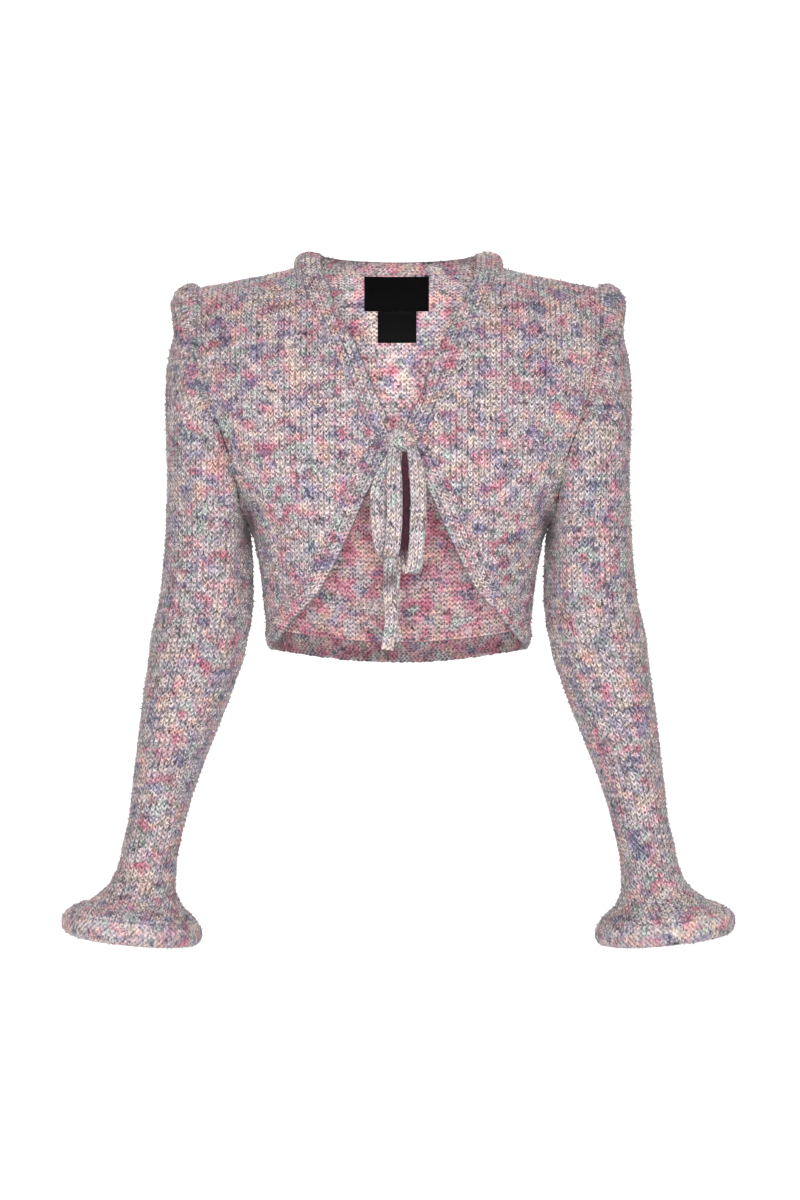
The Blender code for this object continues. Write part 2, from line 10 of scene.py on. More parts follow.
import bpy
import numpy as np
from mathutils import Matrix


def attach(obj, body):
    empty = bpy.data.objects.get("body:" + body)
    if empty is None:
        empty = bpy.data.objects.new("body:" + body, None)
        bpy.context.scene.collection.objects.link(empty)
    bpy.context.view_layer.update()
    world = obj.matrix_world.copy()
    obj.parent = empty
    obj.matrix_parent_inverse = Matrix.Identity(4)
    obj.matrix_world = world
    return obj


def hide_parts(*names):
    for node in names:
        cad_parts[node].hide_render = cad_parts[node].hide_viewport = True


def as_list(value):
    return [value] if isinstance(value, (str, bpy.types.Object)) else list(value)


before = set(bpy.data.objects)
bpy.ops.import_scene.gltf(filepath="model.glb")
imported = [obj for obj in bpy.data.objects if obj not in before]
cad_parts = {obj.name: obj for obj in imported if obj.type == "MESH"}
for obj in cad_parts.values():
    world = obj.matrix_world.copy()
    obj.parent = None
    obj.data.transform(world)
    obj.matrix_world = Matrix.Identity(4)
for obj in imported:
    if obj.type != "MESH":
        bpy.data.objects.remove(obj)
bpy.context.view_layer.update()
scene = bpy.context.scene

# ---- Sizes of the garment, as the solids have them apart from the bands' wall and the straps ----
CLOTH = 0.0026  # knitted wall
BODY_SQUARENESS = 2.3
NECK_POINT = (0.1045, 0.0115)  # x, z: the shoulder seam at the neck band
SHOULDER_POINT = (0.198, -0.008)  # x, z: the shoulder seam at the sleeve
UNDERARM = (0.150, -0.245)
SIDE_HEM_SEAM = -0.349
BACK_NECK_SEAM = 0.011
BACK_HEM_DROP = 0.0145
BAND_WIDTH = 0.020
NECK_TOP_HALF = 0.078
NECK_TOP_DEPTH = 0.052
NECK_TOP_HEIGHT = (0.0235, 0.0260)
LOOP_STRAP, END_STRAP, STRAP_CLOTH = 0.0154, 0.0125, 0.0034  # widths and thickness
STRAP_GATHER, GATHER_SHARE = 0.6, 1 / 6  # a strap's width at the knot, and how far it widens
NECK_BAND_RISE, HEM_BAND_RISE = 0.0025, 0.0020
HOLD_SHARE = 0.35  # share of a sleeve over which its sections let go of the armhole

# Height, half width at the side, centre front depth, centre back depth
BODY = np.array([
    (-0.384, 0.1250, 0.080, 0.077),
    (-0.366, 0.1292, 0.083, 0.080),
    (-0.356, 0.1313, 0.085, 0.081),
    (-0.344, 0.1322, 0.087, 0.083),
    (-0.320, 0.1345, 0.091, 0.086),
    (-0.284, 0.1392, 0.096, 0.090),
    (-0.262, 0.1448, 0.099, 0.092),
    (-0.245, 0.1500, 0.101, 0.093),
    (-0.216, 0.1700, 0.104, 0.095),
    (-0.170, 0.1960, 0.106, 0.097),
    (-0.120, 0.2150, 0.102, 0.098),
    (-0.060, 0.2260, 0.090, 0.094),
    (0.000, 0.2310, 0.080, 0.087),
    (0.040, 0.2330, 0.076, 0.082),
])
# Distance from the centre, height of the shoulder line, depth over which it rounds off
ROOF = np.array([
    (0.000, 0.0350, 0.100),
    (0.050, 0.0305, 0.096),
    (0.080, 0.0215, 0.086),
    (0.1045, 0.0115, 0.076),
    (0.155, 0.0000, 0.074),
    (0.175, -0.0040, 0.072),
    (0.198, -0.0080, 0.070),
    (0.240, -0.0160, 0.068),
])
# Half an armhole from the shoulder down: x, z
ARMHOLE = np.array([
    SHOULDER_POINT,
    (0.1995, -0.030),
    (0.1975, -0.066),
    (0.1870, -0.118),
    (0.1660, -0.180),
    (0.1590, -0.216),
    UNDERARM,
])
# A front's edge from the shoulder down: the band's free edge (x, z), its seam (x, z), its rise
FRONT_EDGE = np.array([
    (0.0780, 0.0260, *NECK_POINT, 0.0105),
    (0.0750, 0.0030, 0.0955, -0.0070, 0.0050),
    (0.0625, -0.0300, 0.0820, -0.0390, 0.0030),
    (0.0445, -0.0660, 0.0632, -0.0760, 0.0022),
    (0.0315, -0.0970, 0.0507, -0.1055, 0.0020),
    (0.0195, -0.1260, 0.0380, -0.1345, 0.0022),
    (0.0095, -0.1470, 0.0270, -0.1545, 0.0026),
    (0.0042, -0.1640, 0.0195, -0.1660, 0.0030),
    (0.0135, -0.1850, 0.0318, -0.1770, 0.0024),
    (0.0265, -0.2090, 0.0455, -0.2000, 0.0020),
    (0.0425, -0.2430, 0.0615, -0.2345, 0.0020),
    (0.0585, -0.2770, 0.0770, -0.2675, 0.0020),
    (0.0755, -0.3080, 0.0925, -0.2965, 0.0020),
    (0.0950, -0.3300, 0.1075, -0.3155, 0.0020),
    (0.1100, -0.3470, 0.1200, -0.3300, 0.0020),
    (0.1215, -0.3600, 0.1285, -0.3415, 0.0020),
    (0.1286, -0.3690, 0.1316, SIDE_HEM_SEAM, 0.0020),
])
FRONT_UNDERARM, FRONT_CORNER = 9.6, 12
# Sleeve sections: outer line (x, z), inner line (x, z), half depth front and back, lean
SLEEVE = np.array([
    (*SHOULDER_POINT, *UNDERARM, 0.050, 0.048, 0.000),
    (0.2050, -0.0090, 0.1495, -0.2500, 0.053, 0.051, 0.000),
    (0.2115, -0.0125, 0.1478, -0.2540, 0.056, 0.054, 0.000),
    (0.2165, -0.0185, 0.1474, -0.2580, 0.058, 0.056, 0.000),
    (0.2200, -0.0270, 0.1471, -0.2620, 0.059, 0.057, 0.000),
    (0.2225, -0.0370, 0.1468, -0.2660, 0.060, 0.058, 0.000),
    (0.2240, -0.0480, 0.1465, -0.2700, 0.060, 0.058, 0.000),
    (0.2262, -0.0620, 0.1462, -0.2750, 0.060, 0.059, 0.000),
    (0.2297, -0.0820, 0.1459, -0.2810, 0.061, 0.059, 0.000),
    (0.2320, -0.1120, 0.1456, -0.2890, 0.061, 0.060, 0.000),
    (0.2318, -0.1500, 0.1454, -0.2990, 0.060, 0.060, 0.000),
    (0.2304, -0.1950, 0.1453, -0.3110, 0.058, 0.059, 0.001),
    (0.2313, -0.2361, 0.1453, -0.3240, 0.056, 0.058, 0.003),
    (0.2336, -0.2781, 0.1468, -0.3390, 0.054, 0.057, 0.005),
    (0.2380, -0.3180, 0.1492, -0.3549, 0.052, 0.055, 0.008),
    (0.2455, -0.3539, 0.1539, -0.3778, 0.050, 0.051, 0.011),
    (0.2490, -0.3837, 0.1632, -0.4046, 0.047, 0.047, 0.014),
    (0.2541, -0.4224, 0.1784, -0.4443, 0.043, 0.042, 0.018),
    (0.2585, -0.4610, 0.1941, -0.4838, 0.038, 0.037, 0.022),
    (0.2626, -0.4985, 0.2067, -0.5213, 0.034, 0.033, 0.026),
    (0.2663, -0.5339, 0.2144, -0.5518, 0.031, 0.031, 0.029),
    (0.2721, -0.5595, 0.2187, -0.5734, 0.030, 0.030, 0.031),
    (0.2774, -0.5832, 0.2204, -0.5931, 0.031, 0.031, 0.032),
    (0.2853, -0.5999, 0.2202, -0.6078, 0.034, 0.034, 0.033),
    (0.2960, -0.6097, 0.2165, -0.6171, 0.041, 0.041, 0.034),
    (0.3050, -0.6165, 0.2130, -0.6240, 0.050, 0.050, 0.034),
    (0.3200, -0.6215, 0.2040, -0.6325, 0.063, 0.062, 0.034),
    (0.3308, -0.6295, 0.1973, -0.6413, 0.069, 0.068, 0.034),
    (0.3321, -0.6385, 0.1948, -0.6515, 0.071, 0.070, 0.034),
    (0.3286, -0.6465, 0.1978, -0.6590, 0.068, 0.067, 0.034),
    (0.3217, -0.6485, 0.2040, -0.6610, 0.062, 0.061, 0.034),
])
# The roll at the sleeve head: the section's row, how far it stands out and up there
HEAD_ROLL = np.array([
    (0.0, 0.0000, 0.0000),
    (1.0, -0.0010, 0.0050),
    (2.0, 0.0010, 0.0080),
    (3.0, 0.0055, 0.0070),
    (4.0, 0.0070, 0.0035),
    (5.0, 0.0030, 0.0010),
    (6.0, -0.0012, 0.0000),
    (7.5, 0.0000, 0.0000),
])
# The straps' paths, from the knot down and back: x, distance forward, z
LOOP_RIGHT = np.array([
    (-0.0045, 0.1225, -0.1715),
    (-0.0044, 0.1275, -0.1900),
    (-0.0038, 0.1310, -0.2150),
    (-0.0040, 0.1325, -0.2480),
    (-0.0070, 0.1300, -0.2740),
    (-0.0135, 0.1235, -0.2740),
    (-0.0185, 0.1210, -0.2500),
    (-0.0190, 0.1212, -0.2150),
    (-0.0110, 0.1216, -0.1930),
    (-0.0050, 0.1215, -0.1784),
])
LOOP_LEFT = np.array([
    (0.0118, 0.1225, -0.1715),
    (0.0165, 0.1275, -0.1900),
    (0.0190, 0.1310, -0.2150),
    (0.0186, 0.1330, -0.2500),
    (0.0160, 0.1310, -0.2840),
    (0.0115, 0.1245, -0.2915),
    (0.0085, 0.1210, -0.2650),
    (0.0085, 0.1212, -0.2200),
    (0.0085, 0.1215, -0.1784),
])
END_RIGHT = np.array([
    (-0.0020, 0.1165, -0.1784),
    (-0.0040, 0.1165, -0.2100),
    (-0.0065, 0.1160, -0.2600),
    (-0.0090, 0.1160, -0.3050),
    (-0.0070, 0.1165, -0.3400),
    (-0.0110, 0.1160, -0.3680),
])
END_LEFT = np.array([
    (0.0035, 0.1117, -0.1783),
    (0.0020, 0.1115, -0.2100),
    (-0.0010, 0.1105, -0.2600),
    (-0.0050, 0.1095, -0.3050),
    (-0.0060, 0.1095, -0.3380),
    (-0.0015, 0.1090, -0.3610),
])
KNOT_MIDDLE = np.array((0.0020, -0.1183, -0.1668))
KNOT_HALF = np.array((0.0150, 0.0107, 0.0112))
KNOT_SQUARENESS = 2.3
KNOT_POLE = 0.004  # how far in v the surface keeps from the knot's poles
GROOVE_CLIMB, GROOVE_SLANT = 1.9, 0.9  # how fast the knot's grooves follow with height and round it
GROOVE_SPACING, GROOVE_WIDTH, GROOVE_DEPTH = 1.3, 0.20, 0.06
# Labels: centre x, half width, top z, bottom z
MAIN_LABEL = (-0.0020, 0.0338, 0.0085, -0.0240)
CARE_LABEL = (-0.0015, 0.0203, -0.0244, -0.0555)
LABEL_CLOTH, LABEL_CLEARANCE = 0.0010, 0.0009
LABEL_CURL, LABEL_BORDER = 0.0005, 0.003  # how far a label's edges lie lower, and how far in

# ---- The knit ----
WALE, COURSE = 0.0056, 0.0045  # width and height of a stitch
SLEEVE_COURSE = 0.0050
TIE_WALE, KNOT_WALE, TIE_RISE = 0.0048, 0.0044, 0.0009
CUFF_TURN = 0.115  # v up the sleeve below which its reverse side shows
STITCH_RISE = 0.0012  # from the groove between two stitches to a leg's crest
PURL_RISE = 0.0009
SLANT = 0.85  # how far a stitch's legs rise from its tip to its sides, in courses
UNEVEN = 0.00016  # how far the slub yarn strays, one standard deviation
STITCH_LEVEL = 0.42  # the share of the rise that lies below the piece's own surface
PURL_LEVEL = 0.5
SLUB_RISE, SLUB_PURL = 0.28, 0.25  # how much a thick place adds to the rise, outside and inside
TURNED_RISE, TURNED_SHADE = 0.8, 0.6  # the bumps' share of rise and of painted shade in the hollows where a cuff rolls back
TURN_REACH = 0.012  # how far in v either way the plain knit takes to turn into bumps
TONE_SPREAD, TONE_SLUB = 0.78, 0.10  # how far a point's tone strays by chance and with the slub
GAP_SHADE_LEAST, GAP_SHADE_SPREAD = 0.45, 0.9  # how deep the painted shade in the holes is outside: the least, and chance on top
GAP_SHADE_LEAST_IN, GAP_SHADE_SPREAD_IN = 0.4, 0.8
EDGE_ROLL, EDGE_STRAY = 0.2, 0.6  # how far a free edge stands out, in walls, and chance on top
RIM_SHADE, SEAM_SHADE = 0.42, 0.30  # painted shade on edges and seams, beside 1 for a hole in the knit
TUCK = 0.0011  # how far a band's inner skin reaches under the piece that it is sewn to
NUB = np.array([(0.8, 1.5), (0.30, 0.60), (0.28, 0.45)]) * 1e-3  # half length, width and height
NUB_LIFT, NUB_DARK = 0.0002, 0.60  # above the yarn, and the share of nubs that are dark
DARKEST_TONES, PALEST_TONES = 0.13, 0.14  # how much of the tones' range, at either end, nubs have
FUZZ, FUZZ_REACH = 0.40, 2.0  # share of nubs whose one end stands up, and how far in lengths
FUZZ_ANGLE, FUZZ_SPREAD = 0.4, 0.9  # how far it stands up in radians: the least, and chance on top
LABEL_MARGIN = 0.003  # how far round a label the reverse side has no nubs
UNDERARM_SHADE_PATCH = np.array([(0.1480, 0.0065), (-0.2500, 0.0200)])  # painted shade at the underarm, x and z: middle and reach
SHADE_PATCH_STRENGTH, SHADE_PATCH_MOST, SHADE_PATCH_BACK = 1.3, 0.95, 0.02  # strength and most of the painted shade at the underarm; the last: none further back in y
PAINTED_INSIDE_LIGHT = 2.25  # painted light: how much lighter the reverse side is inside the neck than at the hem
FINE_U, FINE_V, FINE_ARC = 361, 401, 60  # how finely lengths are measured on a surface
NUDGE = 1e-3  # step in u and v for a surface's slopes
TINY = 1e-9
END = 1e-6  # how near 0 or 1 in u or v counts as a piece's edge
RIM_MAP = 0.024  # height of the strip that rims have on the map


# ---- Curves ----
def smooth(at, knots, values):
    """Cubic curve through values at rising knots, each slope taken from the neighbours."""
    slopes = np.gradient(values, knots, axis=0)
    at = np.clip(at, knots[0], knots[-1])
    low = np.clip(np.searchsorted(knots, at, side="right") - 1, 0, len(knots) - 2)
    step = knots[low + 1] - knots[low]
    t = (at - knots[low]) / step
    if values.ndim > 1:
        t, step = t[..., None], step[..., None]
    return (
        (2 * t**3 - 3 * t**2 + 1) * values[low]
        + (t**3 - 2 * t**2 + t) * step * slopes[low]
        + (3 * t**2 - 2 * t**3) * values[low + 1]
        + (t**3 - t**2) * step * slopes[low + 1]
    )


def at_rows(table, rows):
    """Points of a table's smooth curve at row numbers, whole or between."""
    return smooth(rows, np.arange(len(table), dtype=float), table)


def along(table, share):
    """Points of a table's smooth curve at shares 0 to 1 of its rows."""
    return at_rows(table, np.asarray(share) * (len(table) - 1.0))


def ease(x, start, end):
    """0 before start, 1 after end, turning smoothly between them."""
    t = np.clip((x - start) / (end - start), 0, 1)
    return t * t * (3 - 2 * t)


def unit(vectors):
    """Vectors divided by their lengths."""
    return vectors / np.maximum(np.linalg.norm(vectors, axis=-1, keepdims=True), 1e-12)


def lengths(points, axis):
    """Distance along a grid's lines from their first point."""
    steps = np.linalg.norm(np.diff(points, axis=axis), axis=-1)
    return np.concatenate([np.zeros_like(steps.take([0], axis)), np.cumsum(steps, axis)], axis)


def read_off(at, known, values):
    """Row by row linear reading of values at known places: row i is moved up by i times
    more than the places reach, so that one reading serves all rows."""
    lift = np.arange(len(known))[:, None] * (np.ptp(known) + 1)
    at = np.clip(at, known[:, :1], known[:, -1:])
    found = np.interp((at + lift).ravel(), (known + lift).ravel(), values.ravel())
    return found.reshape(at.shape)


# ---- The body's surface ----
def half_width(z):
    """Half the body's width at its side seams."""
    return smooth(z, BODY[:, 0], BODY[:, 1])


def turn_of(x, z):
    """The angle round the body, 0 at the centre and a right angle at the side seam."""
    return np.arcsin(np.clip(x / half_width(z), -1, 1))


def body(turn, z, face):
    """x = half_width(z) sin(turn). y = centre depth(z) sqrt(1 - |sin turn|^squareness),
    shrunk to 0 at the shoulder line by a quarter circle over the roof's rounding depth."""
    x = half_width(z) * np.sin(turn)
    depth = smooth(z, BODY[:, 0], BODY[:, 2 if face < 0 else 3])
    roof = smooth(np.abs(x), ROOF[:, 0], ROOF[:, 1:])
    below = np.clip((roof[..., 0] - z) / roof[..., 1], 0, 1)
    fullness = np.sqrt(np.clip(1 - np.abs(np.sin(turn)) ** BODY_SQUARENESS, 0, 1))
    y = face * depth * fullness * np.sqrt(1 - (1 - below) ** 2)
    return np.stack([x, y, z + 0 * x], axis=-1)


def body_at(at, face):
    """Points of the body at (turn, z)."""
    return body(at[..., 0], at[..., 1], face)


def on_body(x, z):
    """(turn, z) of places given by x and z."""
    return np.stack([turn_of(x, z), z + 0 * x], axis=-1)


def even_rows(path, start, end):
    """A table's rows from start to end beside the share of the distance on the body that
    each has come, so that np.interp finds the rows of evenly spaced points."""
    rows = np.linspace(start, end, FINE_V)
    length = lengths(body_at(at_rows(path, rows), -1), 0)
    return length / length[-1], rows


EDGE_FREE = on_body(FRONT_EDGE[:, 0], FRONT_EDGE[:, 1])
EDGE_SEAM = on_body(FRONT_EDGE[:, 2], FRONT_EDGE[:, 3])
EDGE_FREE[-1, 0] = EDGE_SEAM[-1, 0] = np.pi / 2
HOLE = on_body(ARMHOLE[:, 0], ARMHOLE[:, 1])
UNDERARM_SHARE = 0.28  # share of a panel's rows that lie below the underarm
EDGE_LOW = even_rows(EDGE_SEAM, FRONT_CORNER, FRONT_UNDERARM)
EDGE_HIGH = even_rows(EDGE_SEAM, FRONT_UNDERARM, 0)
EDGE_WHOLE = even_rows(EDGE_SEAM, len(FRONT_EDGE) - 1, 0)
HOLE_ROWS = even_rows(HOLE, len(ARMHOLE) - 1, 0)


def front_seam(v):
    """(turn, z) up a front's band seam, from the corner at the hem to the shoulder."""
    low = np.interp(v / UNDERARM_SHARE, *EDGE_LOW)
    high = np.interp((v - UNDERARM_SHARE) / (1 - UNDERARM_SHARE), *EDGE_HIGH)
    return at_rows(EDGE_SEAM, np.where(v < UNDERARM_SHARE, low, high))


def side_and_armhole(v):
    """(turn, z) up the side seam, then up the armhole to the shoulder."""
    side = SIDE_HEM_SEAM + (UNDERARM[1] - SIDE_HEM_SEAM) * np.clip(v / UNDERARM_SHARE, 0, 1)
    side = np.stack([np.full_like(side, np.pi / 2), side], axis=-1)
    rows = np.interp((v - UNDERARM_SHARE) / (1 - UNDERARM_SHARE), *HOLE_ROWS)
    return np.where((v < UNDERARM_SHARE)[..., None], side, at_rows(HOLE, rows))


def patch(u, v, bottom, top, inner, outer):
    """Coons patch of (turn, z) from four edges, each a function of u or v: the straight
    blend of bottom and top by v, plus that of inner and outer by u, less that of the four
    corners."""
    zero, one = np.zeros(1), np.ones(1)
    low, high = bottom(u), top(u)
    left, right = inner(v), outer(v)
    u, v = u[..., None], v[..., None]
    return (
        (1 - v) * low + v * high + (1 - u) * left + u * right
        - (1 - u) * (1 - v) * bottom(zero)[0] - u * (1 - v) * bottom(one)[0]
        - (1 - u) * v * top(zero)[0] - u * v * top(one)[0]
    )


# ---- Folds ----
# Drag folds that run from the tie over the fronts: angle from straight up in degrees, how
# far they reach, how far they stand out, how narrow they are in degrees
DRAG_FOLDS = np.array([
    (38, 0.070, 0.0016, 7),
    (57, 0.055, 0.0013, 7),
    (80, 0.060, 0.0015, 8),
    (101, 0.050, 0.0012, 7),
    (122, 0.075, 0.0016, 7),
    (143, 0.055, 0.0012, 6),
])
# Soft creases across the underarm on front and back: x, z, reach, depth, width, slope
BODY_CREASES = np.array([
    (0.150, -0.225, 0.040, -0.0022, 0.0060, 0.90),
    (0.143, -0.262, 0.034, -0.0014, 0.0055, 0.30),
    (0.172, -0.165, 0.030, -0.0012, 0.0060, 1.60),
    (0.060, -0.300, 0.040, -0.0007, 0.0080, 0.15),
])
# Creases of a sleeve: v up the sleeve, angle from the outer line towards the front, how far
# they reach each way in v and in angle, depth, and how fast v changes with the angle
SLEEVE_CREASES = np.array([
    (0.972, 1.05, 0.0110, 0.50, -0.0032, 0.000),
    (0.925, 0.95, 0.0100, 0.42, -0.0030, -0.10),
    (0.885, 0.62, 0.0120, 0.30, -0.0022, -0.16),
    (0.900, 0.80, 0.0130, 0.20, 0.0018, -0.14),
    (0.915, 5.40, 0.0110, 0.40, -0.0024, 0.12),
    (0.560, 2.60, 0.0130, 0.60, -0.0010, 0.030),
    (0.520, 3.30, 0.0150, 0.80, -0.0012, -0.020),
    (0.470, 2.90, 0.0130, 0.60, -0.0008, 0.020),
    (0.600, 3.80, 0.0130, 0.60, -0.0010, -0.030),
    (0.330, 1.30, 0.0150, 0.90, -0.0008, 0.040),
    (0.250, 4.40, 0.0130, 0.90, -0.0008, -0.040),
])


def body_folds(points, face):
    """Points moved out by the folds. A drag fold is a ridge along a ray from the tie, high
    over the middle of its reach. A crease is a trough along a sloping line."""
    x, z = np.abs(points[..., 0]), points[..., 2]
    rise = np.zeros_like(x)
    if face < 0:
        away = np.hypot(x, z - KNOT_MIDDLE[2])
        angle = np.degrees(np.arctan2(x, z - KNOT_MIDDLE[2]))
        for middle, reach, height, narrow in DRAG_FOLDS:
            ray = np.exp(-(((angle - middle) / narrow) ** 2))
            rise += height * ray * ease(away, 0.012, 0.030) * np.exp(-((away / reach) ** 2))
    for at_x, at_z, reach, depth, width, slope in BODY_CREASES:
        across = np.hypot(1, slope)
        on_line = ((x - at_x) + (z - at_z) * slope) / across
        off_line = ((z - at_z) - (x - at_x) * slope) / across
        rise += depth * np.exp(-((on_line / reach) ** 2) - (off_line / width) ** 2)
    return points + outwards(points) * rise[..., None]


def outwards(points):
    """Level directions out of the body: from its middle line, with y counted three times."""
    return unit(points * (1, 3, 0))


# ---- Surfaces of the pieces: functions of u across and v up ----
def front_surface(u, v):
    """The wearer's left front, u from the band's seam out to the side, v from the hem up: a
    Coons patch of its edges in (turn, z), laid on the body and moved out by the folds."""
    at = patch(u, v, front_hem, shoulder_line, front_seam, side_and_armhole)
    return body_folds(body_at(at, -1), -1)


def front_hem(u):
    """(turn, z) along the band's seam below the front's corner, out to the side."""
    return at_rows(EDGE_SEAM, FRONT_CORNER + (len(EDGE_SEAM) - 1 - FRONT_CORNER) * u)


def shoulder_line(u):
    """(turn, z) from the neck out to the sleeve."""
    x = NECK_POINT[0] + (SHOULDER_POINT[0] - NECK_POINT[0]) * u
    return on_body(x, smooth(x, ROOF[:, 0], ROOF[:, 1]))


def neck_seam_height(dip):
    """Height of the back neck's seam: dip is 0 at the shoulder and 1 in the middle."""
    return NECK_POINT[1] + (BACK_NECK_SEAM - NECK_POINT[1]) * dip


def back_neck(q):
    """(turn, z) of the neck band's seam at the angle q round the back neck."""
    return on_body(NECK_POINT[0] * np.sin(q), neck_seam_height(np.cos(q)))


def back_top(u):
    """(turn, z) along the shoulders and the neck band's seam, from left to right."""
    widest = turn_of(*SHOULDER_POINT)
    x = SHOULDER_POINT[0] * np.sin(widest * (1 - 2 * u)) / np.sin(widest)
    neck = neck_seam_height(np.sqrt(np.clip(1 - (x / NECK_POINT[0]) ** 2, 0, 1)))
    shoulder = smooth(np.abs(x), ROOF[:, 0], ROOF[:, 1])
    return on_body(x, np.where(np.abs(x) > NECK_POINT[0], shoulder, neck))


def back_hem(turn, drop):
    """(turn, z) of the back's hem seam, or drop below it."""
    return np.stack([turn, SIDE_HEM_SEAM - drop - BACK_HEM_DROP * np.cos(turn) ** 2], axis=-1)


def back_surface(u, v):
    """The back, u from the wearer's left side to the right, v from the hem up: a Coons patch
    like the front's, on the back of the body."""
    at = patch(
        u, v,
        lambda u: back_hem(np.pi / 2 * (1 - 2 * u), 0),
        back_top,
        side_and_armhole,
        lambda v: side_and_armhole(v) * (-1, 1),
    )
    return body_folds(body_at(at, 1), 1)


def band_between(low, high, rise, out, u):
    """low (1 - u) + high u + 4 rise u (1 - u) out: straight lines between two edges, raised
    between them by a parabola of height rise in the direction out."""
    flat = low * (1 - u[..., None]) + high * u[..., None]
    out = outwards(flat) if out is None else out
    return flat + out * (rise * 4 * u * (1 - u))[..., None]


def front_band_surface(u, v):
    """The left front's band, u from its free edge to its seam, v from the side hem up: a
    band between its two edges on the body, raised square to them."""
    rows = np.interp(v, *EDGE_WHOLE)
    low, high = body_at(at_rows(EDGE_FREE, rows), -1), body_at(at_rows(EDGE_SEAM, rows), -1)
    ahead = np.interp(v + NUDGE, *EDGE_WHOLE) - np.interp(v - NUDGE, *EDGE_WHOLE)
    up = body_at(at_rows(EDGE_FREE, rows + ahead), -1) - low
    out = unit(np.cross(high - low, up))
    return band_between(low, high, at_rows(FRONT_EDGE[:, 4], rows), out, u)


def neck_band_surface(u, v):
    """The band round the back neck, u from its seam up, v from the right to the left: a band
    between its seam on the body and half an ellipse above, raised up and away from the neck."""
    q = np.pi * (v - 0.5)
    low = body_at(back_neck(q), 1)
    middle, shoulder = NECK_TOP_HEIGHT
    high = np.stack([
        NECK_TOP_HALF * np.sin(q),
        NECK_TOP_DEPTH * np.clip(np.cos(q), 0, 1),
        shoulder + (middle - shoulder) * np.cos(q),
    ], axis=-1)
    shoulder_rise = FRONT_EDGE[0, 4]
    rise = shoulder_rise + (NECK_BAND_RISE - shoulder_rise) * np.sqrt(np.clip(np.cos(q), 0, 1))
    out = unit(np.stack([np.sin(q) * 0.9, np.cos(q).clip(0, 1), 0.9 + 0 * q], axis=-1))
    return band_between(low, high, rise, out, u)


def hem_band_surface(u, v):
    """The band along the back hem, u from its free edge up, v from the right to the left: a
    band between the hem seam and a line below it on the body, raised outwards."""
    turn = np.pi * (v - 0.5)
    low, high = body_at(back_hem(turn, BAND_WIDTH), 1), body_at(back_hem(turn, 0), 1)
    return band_between(low, high, HEM_BAND_RISE, None, u)


def armhole_loop(angle):
    """Points of the armhole at angles of the sleeve's first section, 0 at the shoulder and
    rising over the front to the underarm."""
    v = np.linspace(1, UNDERARM_SHARE, FINE_V)
    edge = side_and_armhole(v)
    edge[-1] = (np.pi / 2, UNDERARM[1])
    shoulder, underarm = np.array(SHOULDER_POINT), np.array(UNDERARM)
    reach = (shoulder - underarm) / 2
    points = [body_at(edge, face) for face in (-1, 1)]
    height = (points[0][:, [0, 2]] - (shoulder + underarm) / 2) @ reach / (reach @ reach)
    known = np.arccos(height.clip(-1, 1))
    folded = np.where(angle > np.pi, 2 * np.pi - angle, angle)
    front, back = (
        np.stack([np.interp(folded, known, side[:, axis]) for axis in range(3)], axis=-1)
        for side in points
    )
    return np.where((angle > np.pi)[..., None], back, front)


def sleeve_surface(u, v):
    """The left sleeve, u round it from the underarm over the front, the outer line and the
    back, v from the rolled edge up to the armhole.

    A section is M + w cos(a) e + d sin(a) (-Y): M and w are the middle and half the length
    of its line from outer to inner, e points along that line and d is the half depth. The
    first sections are drawn onto the armhole's loop, and let go of it down the sleeve.
    """
    share = 1 - v
    a = np.mod(np.pi * (1 - 2 * u), 2 * np.pi)
    table = along(SLEEVE, share)
    rings, start = sleeve_ring(table, a), sleeve_ring(SLEEVE[0], a)
    hold = np.exp(-((share / HOLD_SHARE) ** 1.5))[..., None]
    roll = smooth(share * (len(SLEEVE) - 1), HEAD_ROLL[:, 0], HEAD_ROLL[:, 1:])
    near_top = np.cos(a).clip(0, 1) ** 5
    rings[..., 0] += roll[..., 0] * near_top
    rings[..., 2] += roll[..., 1] * near_top
    points = rings + hold * (armhole_loop(a) - start)
    across = (table[..., 0:2] + table[..., 2:4]) / 2
    middle = np.stack([across[..., 0], -table[..., 6], across[..., 1]], axis=-1)
    return points + unit(points - middle) * sleeve_folds(a, v)[..., None]


def sleeve_ring(row, a):
    """Points at the angles a of the section that a row of the sleeve's table gives."""
    depth = np.where(np.sin(a) > 0, row[..., 4], row[..., 5])
    outer, inner = row[..., 0:2], row[..., 2:4]
    across = (outer + inner) / 2 + (outer - inner) / 2 * np.cos(a)[..., None]
    return np.stack([across[..., 0], -row[..., 6] - np.sin(a) * depth, across[..., 1]], axis=-1)


def sleeve_folds(a, v):
    """How far the sleeve's creases stand out: each a trough or ridge along a line of v that
    changes with the angle."""
    rise = np.zeros_like(a)
    for at_v, at_a, wide_v, wide_a, depth, slope in SLEEVE_CREASES:
        off = np.mod(a - at_a + np.pi, 2 * np.pi) - np.pi
        rise += depth * np.exp(-(((v - at_v - slope * off) / wide_v) ** 2) - (off / wide_a) ** 2)
    return rise


def strap_surface(path, width, ends_at_knot):
    """A flattened tube along a path: u once round it, v from its end up to the knot. Its
    section is middle + width / 2 cos(a) across + thickness / 2 sin(a) out, and the width
    shrinks evenly towards the knot, at both ends of a loop."""
    path = path * (1, -1, 1)

    def surface(u, v):
        share = 1 - v
        middle = along(path, share)
        ahead = unit(along(path, share + NUDGE) - along(path, share - NUDGE))
        across = unit(np.array((1.0, 0, 0)) - ahead[..., :1] * ahead)
        out = np.cross(ahead, across)
        from_knot = np.minimum(share, 1 - share) if ends_at_knot == 2 else share
        full = STRAP_GATHER + (1 - STRAP_GATHER) * np.clip(from_knot / GATHER_SHARE, 0, 1)
        a = 2 * np.pi * u
        return (
            middle
            + across * (np.cos(a) * full * width / 2)[..., None]
            + out * (np.sin(a) * STRAP_CLOTH / 2)[..., None]
        )

    return surface


